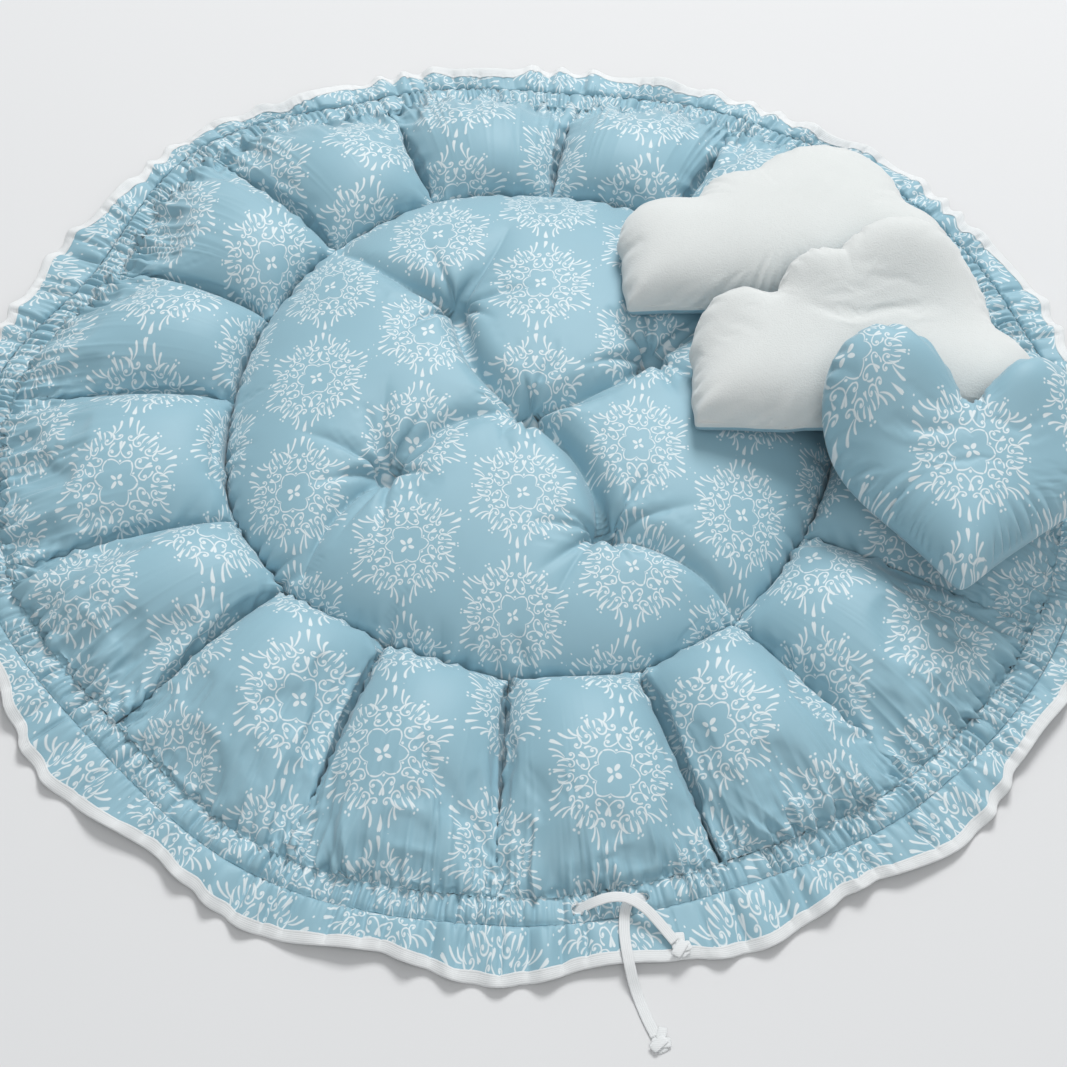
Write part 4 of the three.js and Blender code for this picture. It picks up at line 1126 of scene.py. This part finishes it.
class LOUNGER_OT_pillows(bpy.types.Operator):
    """Makes the two cloud pillows and the heart pillow, each laid over the one beneath it"""

    bl_idname = "lounger.pillows"
    bl_label = "Pillows"

    def execute(self, context):
        sizes = context.scene.lounger_sizes
        mat_level = sizes.seam_height + sizes.petal_crown
        tops, patches, lower, notes = [], [], [], []
        grid_x, grid_y = disc_grid(PILLOW_CLOTH)
        ring = np.minimum(np.hypot(grid_x, grid_y), 1)
        angle = np.arctan2(grid_y, grid_x)
        for name, (middle, degrees) in PILLOW_PLACES.items():
            cloud = name.startswith("cloud")
            edge = cloud_edge if cloud else heart_edge
            thick = sizes.cloud_thickness if cloud else sizes.heart_thickness
            turn = math.radians(degrees)
            rim_x, rim_y = edge(sizes, angle)
            spread = 1 - (1 - ring) ** 1.25
            x, y = rim_x * spread, rim_y * spread
            px, py = rotate(x, y, turn, middle)
            drape = draped_over(tops, mat_level)
            outline = np.stack(edge(sizes, full_turn(900)), axis=-1)
            swell = thick * np.where(ring < 1 - 1e-9, fullness(outline, x, y), 0)
            base = drape.at(px, py)
            top = np.stack([px, py, base + ABOVE * swell], axis=-1)
            under = np.stack([px, py, base - (1 - ABOVE) * swell], axis=-1)
            drop = under[..., 2].min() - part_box(name)[0][2]
            top[..., 2] -= drop
            under[..., 2] -= drop
            patches.append(top)
            lower.append(under)
            notes.append((name, cloud, np.stack([x, y], axis=-1), np.stack([rim_x, rim_y], axis=-1)))
            tops.append(self.top_of(drape, drop, edge, sizes, middle, turn, thick, outline))
        pins = [edge_pins(patch) for patch in patches]
        patches = settle("pillows", patches, pins, excess=[0.035] * 3, frames=20)
        fine = np.linspace(0, PILLOW_CLOTH - 1, PILLOW_POINTS)
        for number, (patch, below, (name, cloud, cloth, rim)) in enumerate(zip(patches, lower, notes)):
            top, below, cloth, rim = (resample(grid, fine, fine) for grid in (patch, below, cloth, rim))
            turned = np.arctan2(cloth[..., 1], cloth[..., 0])
            away = np.hypot(rim[..., 0] - cloth[..., 0], rim[..., 1] - cloth[..., 1])
            count, depth = (70, 0.004) if cloud else (76, 0.0065)
            fold = puckers((turned + np.pi) * 0.14, away, 0.88, count, 800 + number, (0.006, 0.05), depth)
            top = top + grid_normals(top) * (fold * np.minimum(1, away / 0.003))[..., None]
            self.add_pillow(name, cloud, top, below, cloth)
        return {"FINISHED"}

    def top_of(self, drape, drop, edge, sizes, middle, turn, thick, outline):
        """Heights of a pillow's top on the raster, for what lies on it: far down where the pillow isn't."""
        px, py = np.meshgrid(drape.x, drape.y)
        x, y = rotate(px - middle[0], py - middle[1], -turn)
        ex, ey = edge(sizes, np.arctan2(y, x))
        inside = np.hypot(x, y) < np.hypot(ex, ey)
        high = np.full_like(px, -1.0)
        swell = thick * fullness(outline, x[inside], y[inside])
        high[inside] = drape.heights[inside] - drop + ABOVE * swell
        return high

    def add_pillow(self, name, cloud, top, under, cloth):
        """Joins a top to an underside at the seam and gives each side its cloth."""
        points, upper, lower, kept = two_sides(top, under)
        uv = np.concatenate([cloth.reshape(-1, 2), cloth.reshape(-1, 2)[kept]])
        above = "white_plush" if cloud else "printed_cotton"
        piece = make_piece(f"{name}_padding", points, [upper, lower], above, uv)
        if cloud:
            piece.data.materials.append(finish("plain_cotton"))
            slots = np.concatenate([np.zeros(len(upper)), np.ones(len(lower))]).astype(np.int32)
            piece.data.polygons.foreach_set("material_index", slots)
        declare(piece, BODIES[name], name)


# Materials

class Nodes:
    """Adds nodes to a tree. Any input may be a number, a tuple or another node's output."""

    def __init__(self, tree):
        self.tree = tree

    def add(self, kind, inputs=None, **settings):
        """A node with its settings and inputs."""
        node = self.tree.nodes.new(kind)
        for key, value in settings.items():
            setattr(node, key, value)
        for key, value in (inputs or {}).items():
            self.put(node.inputs[key], value)
        return node

    def put(self, socket, value):
        """Links an output to an input, or sets the input's own value."""
        if isinstance(value, bpy.types.NodeSocket):
            self.tree.links.new(value, socket)
        else:
            socket.default_value = value

    def math(self, operation, *values, clamp=False):
        """The output of a Math node."""
        node = self.add("ShaderNodeMath", operation=operation, use_clamp=clamp)
        for socket, value in zip(node.inputs, values):
            self.put(socket, value)
        return node.outputs[0]

    def vector(self, operation, *values, output=0):
        """An output of a Vector Math node."""
        node = self.add("ShaderNodeVectorMath", operation=operation)
        for socket, value in zip(node.inputs, values):
            self.put(socket, value)
        return node.outputs[output]

    def flat(self, x, y):
        """A vector from its first two parts."""
        return self.add("ShaderNodeCombineXYZ", {"X": x, "Y": y}).outputs[0]

    def parts(self, vector):
        """A vector's three parts."""
        return self.add("ShaderNodeSeparateXYZ", {0: vector}).outputs

    def cloth(self):
        """The piece's cloth coordinates."""
        return self.add("ShaderNodeUVMap", uv_map="cloth").outputs[0]

    def noise(self, place, scale, detail):
        """A noise from 0 to 1 at a place."""
        return self.add("ShaderNodeTexNoise", {"Vector": place, "Scale": scale, "Detail": detail}).outputs[0]

    def scaled(self, vector, factor):
        """A vector or colour times a factor."""
        node = self.add("ShaderNodeVectorMath", {0: vector, "Scale": factor}, operation="SCALE")
        return node.outputs[0]

    def inked(self, half, away):
        """How far a place lies within a drawn line's half width: 0 outside, 1 inside, soft at its edge."""
        return self.math("MULTIPLY_ADD", self.math("SUBTRACT", half, away), SHARPNESS, 0.5, clamp=True)

    def group(self, group, **inputs):
        """The first output of a group, whose inputs are given by name."""
        return self.add("ShaderNodeGroup", inputs, node_tree=group).outputs[0]

    def mix(self, factor, first, second):
        """A colour between two colours."""
        node = self.add("ShaderNodeMix", data_type="RGBA")
        self.put(node.inputs[0], factor)
        self.put(node.inputs[6], first)
        self.put(node.inputs[7], second)
        return node.outputs[2]


def shared(name):
    """Marks a function that builds the node group of that name, so that it is built only once."""
    def once(build):
        return lambda: bpy.data.node_groups.get(name) or build(name)
    return once


def new_group(name, inputs, output):
    """A node group with named inputs and one output. Returns its Nodes, its inputs by name and its output's socket."""
    tree = bpy.data.node_groups.new(name, "ShaderNodeTree")
    for key, value in inputs.items():
        kind = "NodeSocketVector" if value is None else "NodeSocketFloat"
        socket = tree.interface.new_socket(key, in_out="INPUT", socket_type=kind)
        if value is not None:
            socket.default_value = value
    tree.interface.new_socket(output, in_out="OUTPUT", socket_type="NodeSocketFloat")
    nodes = Nodes(tree)
    start = nodes.add("NodeGroupInput")
    end = nodes.add("NodeGroupOutput")
    return nodes, {key: start.outputs[key] for key in inputs}, end.inputs[output]


@shared("Curl")
def curl_group(name):
    """A drawn curl: the spiral angle = K ln r round a centre, its line thinner inwards, with a drop in its middle."""
    n, i, end = new_group(name, {"Point": None, "X": 0.0, "Y": 0.0, "Size": 0.1, "Turn": 0.0, "Hand": 1.0,
                                 "Line": 0.02}, "Mask")
    wind = 3.4
    away = n.vector("SUBTRACT", i["Point"], n.flat(i["X"], i["Y"]))
    far = n.vector("LENGTH", away, output=1)
    reach = n.math("DIVIDE", far, i["Size"])
    parts = n.parts(away)
    angle = n.math("MULTIPLY", n.math("ARCTAN2", parts[1], parts[0]), i["Hand"])
    phase = n.math("SUBTRACT", n.math("SUBTRACT", angle, i["Turn"]),
                   n.math("MULTIPLY", n.math("LOGARITHM", n.math("MAXIMUM", reach, 0.02), math.e), wind))
    offset = n.math("ABSOLUTE", n.math("WRAP", phase, math.pi, -math.pi))
    distance = n.math("MULTIPLY", n.math("MULTIPLY", offset, far), 1 / math.hypot(1, wind))
    half = n.math("MULTIPLY", i["Line"], n.math("MULTIPLY_ADD", reach, 0.65, 0.35))
    inside = n.math("MULTIPLY", n.math("LESS_THAN", reach, 1.0), n.math("GREATER_THAN", reach, 0.2))
    line = n.math("MULTIPLY", n.inked(half, distance), inside)
    n.put(end, n.math("MAXIMUM", line, n.inked(n.math("MULTIPLY", i["Line"], 1.5), far)))
    return n.tree


@shared("Stroke")
def stroke_group(name):
    """A drawn leaf stroke: an arc round a centre, thick soon after its start and thinner along its sweep:
    half width = line × root(1 - u) × root(min(1, 8 u + 0.15)), where u goes from 0 to 1."""
    n, i, end = new_group(name, {"Point": None, "X": 0.0, "Y": 0.0, "Size": 0.1, "Start": 0.0, "Sweep": 1.0,
                                 "Line": 0.02}, "Mask")
    away = n.vector("SUBTRACT", i["Point"], n.flat(i["X"], i["Y"]))
    parts = n.parts(away)
    offset = n.math("ABSOLUTE", n.math("SUBTRACT", n.vector("LENGTH", away, output=1), i["Size"]))
    angle = n.math("SUBTRACT", n.math("ARCTAN2", parts[1], parts[0]), i["Start"])
    angle = n.math("WRAP", n.math("MULTIPLY", angle, n.math("SIGN", i["Sweep"])), 2 * math.pi - 0.6, -0.6)
    share = n.math("DIVIDE", angle, n.math("ABSOLUTE", i["Sweep"]))
    rest = n.math("SUBTRACT", 1.0, share, clamp=True)
    head = n.math("MULTIPLY_ADD", share, 8.0, 0.15, clamp=True)
    half = n.math("MULTIPLY", i["Line"], n.math("SQRT", n.math("MULTIPLY", rest, head)))
    n.put(end, n.math("MULTIPLY", n.inked(half, offset), n.math("GREATER_THAN", half, 0.0)))
    return n.tree


@shared("Scroll Print")
def scroll_print_group(name):
    """A scroll print: round medallions in a half drop, each a star of mirrored curls, strokes and dots."""
    n, i, end = new_group(name, {"Cloth": None, **PRINT}, "Mask")
    parts = n.parts(i["Cloth"])
    u = n.math("DIVIDE", parts[0], i["Column"])
    column = n.math("ROUND", u)
    odd = n.math("MULTIPLY", n.math("PINGPONG", column, 1.0), 0.5)
    v = n.math("ADD", n.math("DIVIDE", parts[1], i["Drop"]), odd)
    row = n.math("ROUND", v)
    x = n.math("DIVIDE", n.math("MULTIPLY", n.math("SUBTRACT", u, column), i["Column"]), i["Radius"])
    y = n.math("DIVIDE", n.math("MULTIPLY", n.math("SUBTRACT", v, row), i["Drop"]), i["Radius"])
    flat = n.flat(x, y)
    shifted = n.vector("ADD", flat, n.vector("MULTIPLY", n.flat(column, row), (7.3, 4.1, 0.0)))
    hand = n.add("ShaderNodeTexNoise", {"Vector": shifted, "Scale": 1.6, "Detail": 1.0}, noise_dimensions="2D")
    warp = n.vector("MULTIPLY", n.vector("SUBTRACT", hand.outputs["Color"], (0.5, 0.5, 0.5)), (0.14, 0.14, 0.0))
    bent = n.vector("ADD", flat, warp)
    place = n.parts(bent)
    angle = n.math("ARCTAN2", place[1], place[0])
    oval = n.math("MULTIPLY_ADD", n.math("COSINE", n.math("MULTIPLY", angle, 2.0)), 0.07, 1.0)
    reach = n.math("MULTIPLY", n.vector("LENGTH", bent, output=1), oval)
    angle = n.math("ADD", angle, WEDGE / 2)
    fold = n.math("ABSOLUTE", n.math("WRAP", angle, WEDGE / 2, -WEDGE / 2))
    point = n.flat(n.math("MULTIPLY", reach, n.math("COSINE", fold)), n.math("MULTIPLY", reach, n.math("SINE", fold)))
    drawn = []
    for x, y, size, turn, hand in CURLS:
        drawn.append(n.group(curl_group(), Point=point, X=x, Y=y, Size=size, Turn=turn, Hand=hand, Line=i["Line"]))
    for x, y, size, start, sweep, weight in STROKES:
        line = n.math("MULTIPLY", i["Line"], weight)
        drawn.append(n.group(stroke_group(), Point=point, X=x, Y=y, Size=size, Start=start, Sweep=sweep, Line=line))
    for x, y, size in DOTS:
        drawn.append(n.inked(size, n.vector("LENGTH", n.vector("SUBTRACT", point, (x, y, 0.0)), output=1)))
    # A small four-petalled flower in the middle
    quarter = n.math("ABSOLUTE", n.math("WRAP", angle, math.pi / 4, -math.pi / 4))
    along = n.math("DIVIDE", n.math("SUBTRACT", n.math("MULTIPLY", reach, n.math("COSINE", quarter)), 0.1), 0.075)
    aside = n.math("DIVIDE", n.math("MULTIPLY", reach, n.math("SINE", quarter)), 0.042)
    away = n.math("ADD", n.math("MULTIPLY", along, along), n.math("MULTIPLY", aside, aside))
    drawn.append(n.math("MULTIPLY", n.math("SUBTRACT", 1.0, away), 3.0, clamp=True))
    mask = drawn[0]
    for other in drawn[1:]:
        mask = n.math("MAXIMUM", mask, other)
    n.put(end, mask)
    return n.tree


@shared("Weave")
def weave_group(name):
    """Sateen weave: long floats, each row shifted by two fifths of a float: a bump of sin × sin along and across."""
    n, i, end = new_group(name, {"Cloth": None, "Threads": 1800.0}, "Height")
    parts = n.parts(n.scaled(i["Cloth"], i["Threads"]))
    row = n.math("FLOOR", parts[1])
    float_place = n.math("FRACT", n.math("ADD", n.math("MULTIPLY", parts[0], 0.2), n.math("MULTIPLY", row, 0.4)))
    along = n.math("SINE", n.math("MULTIPLY", float_place, math.pi))
    across = n.math("SINE", n.math("MULTIPLY", n.math("FRACT", parts[1]), math.pi))
    n.put(end, n.math("MULTIPLY", along, across))
    return n.tree


@shared("Tape Rib")
def rib_group(name):
    """Woven tape: ribs along its length and fine rows across: 0.5 + 0.35 cos over the width + 0.25 sin over the
    length."""
    n, i, end = new_group(name, {"Cloth": None, "Ribs": 560.0, "Rows": 1500.0}, "Height")
    parts = n.parts(i["Cloth"])
    ribs = n.math("COSINE", n.math("MULTIPLY", parts[1], n.math("MULTIPLY", i["Ribs"], 2 * math.pi)))
    rows = n.math("SINE", n.math("MULTIPLY", parts[0], n.math("MULTIPLY", i["Rows"], 2 * math.pi)))
    n.put(end, n.math("MULTIPLY_ADD", rows, 0.25, n.math("MULTIPLY_ADD", ribs, 0.35, 0.5)))
    return n.tree


def new_material(name, **values):
    """A material with a Principled BSDF and values on the shader's own sockets: its Nodes and the shader."""
    material = bpy.data.materials.new(f"lounger_{name}")
    material.use_nodes = True
    material.node_tree.nodes.clear()
    nodes = Nodes(material.node_tree)
    output = nodes.add("ShaderNodeOutputMaterial")
    shader = nodes.add("ShaderNodeBsdfPrincipled")
    material.node_tree.links.new(shader.outputs[0], output.inputs[0])
    for key, value in values.items():
        shader.inputs[key.replace("_", " ")].default_value = value
    return material, nodes, shader


def cloth_relief(n, shader, height, strength, distance):
    """Lets a height in the cloth bend the shader's normal, by a Bump node."""
    bump = n.add("ShaderNodeBump", {"Strength": strength, "Distance": distance, "Height": height})
    n.put(shader.inputs["Normal"], bump.outputs[0])


def printed_cotton(colours):
    """Pale blue cotton sateen with white scrolls printed on it."""
    material, n, shader = new_material("printed_cotton", Specular_IOR_Level=0.35, Sheen_Weight=0.25,
                                       Sheen_Roughness=0.4)
    cloth = n.cloth()
    mask = n.group(scroll_print_group(), Cloth=cloth)
    ground = n.scaled(tuple(colours.blue), n.math("MULTIPLY_ADD", n.noise(cloth, 9.0, 4.0), 0.16, 0.92))
    ink = n.math("MULTIPLY", mask, 0.86)
    shader.inputs["Base Color"].default_value = (*colours.blue, 1)
    n.put(shader.inputs["Base Color"], n.mix(ink, ground, (*colours.print, 1)))
    n.put(shader.inputs["Roughness"], n.math("MULTIPLY_ADD", mask, 0.16, 0.5))
    cloth_relief(n, shader, n.group(weave_group(), Cloth=cloth), 0.25, 0.0002)
    return material


def plain_cotton(colours):
    """Plain pale blue cotton."""
    material, n, shader = new_material("plain_cotton", Roughness=0.75, Sheen_Weight=0.2)
    cloth = n.cloth()
    slub = n.noise(cloth, 14.0, 5.0)
    n.put(shader.inputs["Base Color"], n.scaled(tuple(colours.plain), n.math("MULTIPLY_ADD", slub, 0.2, 0.9)))
    cloth_relief(n, shader, n.group(weave_group(), Cloth=cloth, Threads=1300.0), 0.3, 0.0002)
    return material


def white_plush(colours):
    """Fine white plush: a short dense pile that lies in soft patches."""
    material, n, shader = new_material("white_plush", Roughness=0.95, Specular_IOR_Level=0.15, Sheen_Weight=0.4,
                                       Sheen_Roughness=0.6)
    place = n.add("ShaderNodeTexCoord").outputs["Object"]
    patch, pile = n.noise(place, 22.0, 3.0), n.noise(place, 650.0, 2.0)
    tone = n.math("ADD", n.math("MULTIPLY_ADD", patch, 0.07, 0.93), n.math("MULTIPLY", pile, 0.05))
    n.put(shader.inputs["Base Color"], n.scaled(tuple(colours.plush), tone))
    cloth_relief(n, shader, n.math("ADD", pile, n.math("MULTIPLY", patch, 0.5)), 0.5, 0.0009)
    return material


def white_tape(colours):
    """White woven cotton tape and binding."""
    material, n, shader = new_material("white_tape", Roughness=0.8, Sheen_Weight=0.15)
    cloth = n.cloth()
    rib = n.group(rib_group(), Cloth=cloth)
    n.put(shader.inputs["Base Color"], n.scaled(tuple(colours.tape), n.math("MULTIPLY_ADD", rib, 0.1, 0.9)))
    cloth_relief(n, shader, rib, 0.5, 0.0003)
    return material


def floor_paint(colours):
    """Matt pale floor that the camera sees fade into the backdrop's own pale tone."""
    material, n, shader = new_material("floor_paint", Roughness=0.9, Specular_IOR_Level=0.0,
                                       Emission_Color=(*colours.backdrop, 1))
    place = n.add("ShaderNodeTexCoord").outputs["Object"]
    away = n.vector("LENGTH", place, output=1)
    far = n.add("ShaderNodeMapRange", {"Value": away, "From Min": FADE[0], "From Max": FADE[1]},
                interpolation_type="SMOOTHSTEP").outputs[0]
    seen = n.add("ShaderNodeLightPath").outputs["Is Camera Ray"]
    fade = n.math("MULTIPLY", far, seen)
    n.put(shader.inputs["Base Color"], n.mix(fade, (*colours.floor, 1), (0, 0, 0, 1)))
    n.put(shader.inputs["Emission Strength"], fade)
    return material


FINISHES = {
    "printed_cotton": printed_cotton, "plain_cotton": plain_cotton, "white_plush": white_plush,
    "white_tape": white_tape, "floor_paint": floor_paint,
}


def finish(name):
    """A material by name, made when it is first asked for."""
    return bpy.data.materials.get(f"lounger_{name}") or FINISHES[name](bpy.context.scene.lounger_colours)


# The stage

class LOUNGER_OT_stage(bpy.types.Operator):
    """Makes the pale floor, the soft studio light and the camera"""

    bl_idname = "lounger.stage"
    bl_label = "Stage"

    def execute(self, context):
        scene = context.scene
        line = np.linspace(-FLOOR_HALF, FLOOR_HALF, 13)
        x, y = np.meshgrid(line, line)
        floor = make_piece("floor", np.stack([x, y, np.full_like(x, -0.0002)], axis=-1), [grid_quads(*x.shape)],
                           "floor_paint")
        scene.world = self.studio(scene.lounger_colours)
        self.lamp("window", (0.7, 3.7, 4.5), 2.2, 290.0)
        self.lamp("fill", (0.6, -3.2, 4.6), 3.6, 95.0)
        self.camera(scene)
        scene.view_settings.view_transform = "Standard"
        return {"FINISHED"}

    def studio(self, colours):
        """Even pale light from all round, in which the camera sees the backdrop's tone."""
        world = bpy.data.worlds.new("studio")
        world.use_nodes = True
        n = Nodes(world.node_tree)
        n.tree.nodes.clear()
        light = n.add("ShaderNodeBackground", {"Color": (0.96, 0.98, 1.0, 1), "Strength": 0.36}).outputs[0]
        backdrop = n.add("ShaderNodeBackground", {"Color": (*colours.backdrop, 1), "Strength": 1.0}).outputs[0]
        seen = n.add("ShaderNodeLightPath").outputs["Is Camera Ray"]
        mixed = n.add("ShaderNodeMixShader", {0: seen, 1: light, 2: backdrop}).outputs[0]
        n.add("ShaderNodeOutputWorld", {"Surface": mixed})
        return world

    def lamp(self, name, place, size, power):
        """A square soft light that faces the mat's middle."""
        light = bpy.data.lights.new(name, "AREA")
        light.shape = "SQUARE"
        light.size = size
        light.energy = power
        away = np.array(place) / np.linalg.norm(place)
        side = np.cross((0.0, 0.0, 1.0), away)
        side = side / np.linalg.norm(side)
        self.stand(name, light, (side, np.cross(away, side), away), place)

    def camera(self, scene):
        """The camera at the photograph's angle, its lens worked out from its focal length in pixels."""
        view = bpy.data.cameras.new("camera")
        view.sensor_width = SENSOR_WIDTH
        view.lens = SENSOR_WIDTH * FOCAL_PIXELS / PHOTO_PIXELS
        view.clip_start, view.clip_end = 0.05, 60.0
        scene.camera = self.stand("camera", view, CAMERA_AXES, CAMERA_PLACE)

    def stand(self, name, data, axes, place):
        """Puts a lamp or a camera in its place, turned to its three axes."""
        thing = bpy.data.objects.new(name, data)
        bpy.context.collection.objects.link(thing)
        turn = np.eye(4)
        turn[:3] = np.stack([*axes, place], axis=-1)
        thing.matrix_world = Matrix(turn.tolist())
        return thing


class LOUNGER_PT_panel(bpy.types.Panel):
    """The lounger's sizes, colours and pieces in the sidebar."""

    bl_label = "Quilted Floor Lounger"
    bl_idname = "LOUNGER_PT_panel"
    bl_space_type = "VIEW_3D"
    bl_region_type = "UI"
    bl_category = "Lounger"

    def draw(self, context):
        for group in (context.scene.lounger_sizes, context.scene.lounger_colours):
            box = self.layout.box()
            for key in group.__annotations__:
                box.prop(group, key)
        for operator in OPERATORS:
            self.layout.operator(operator.bl_idname)


OPERATORS = (LOUNGER_OT_stage, LOUNGER_OT_quilt_top, LOUNGER_OT_edge, LOUNGER_OT_backing, LOUNGER_OT_drawstring,
             LOUNGER_OT_pillows)
CLASSES = (LoungerSizes, LoungerColours) + OPERATORS + (LOUNGER_PT_panel,)


def register():
    """Registers the classes and puts the sizes and colours on the scene."""
    for item in CLASSES:
        bpy.utils.register_class(item)
    bpy.types.Scene.lounger_sizes = bpy.props.PointerProperty(type=LoungerSizes)
    bpy.types.Scene.lounger_colours = bpy.props.PointerProperty(type=LoungerColours)


def unregister():
    """Takes them off again."""
    del bpy.types.Scene.lounger_colours
    del bpy.types.Scene.lounger_sizes
    for item in reversed(CLASSES):
        bpy.utils.unregister_class(item)


def plain(box):
    """A box as plain lists of numbers."""
    return [[float(value) for value in corner] for corner in box]


def main():
    """Makes the whole lounger."""
    register()
    bpy.ops.lounger.stage()
    bpy.ops.lounger.quilt_top()
    bpy.ops.lounger.edge()
    bpy.ops.lounger.backing()
    bpy.ops.lounger.drawstring()
    bpy.ops.lounger.pillows()


if __name__ == "__main__":
    main()
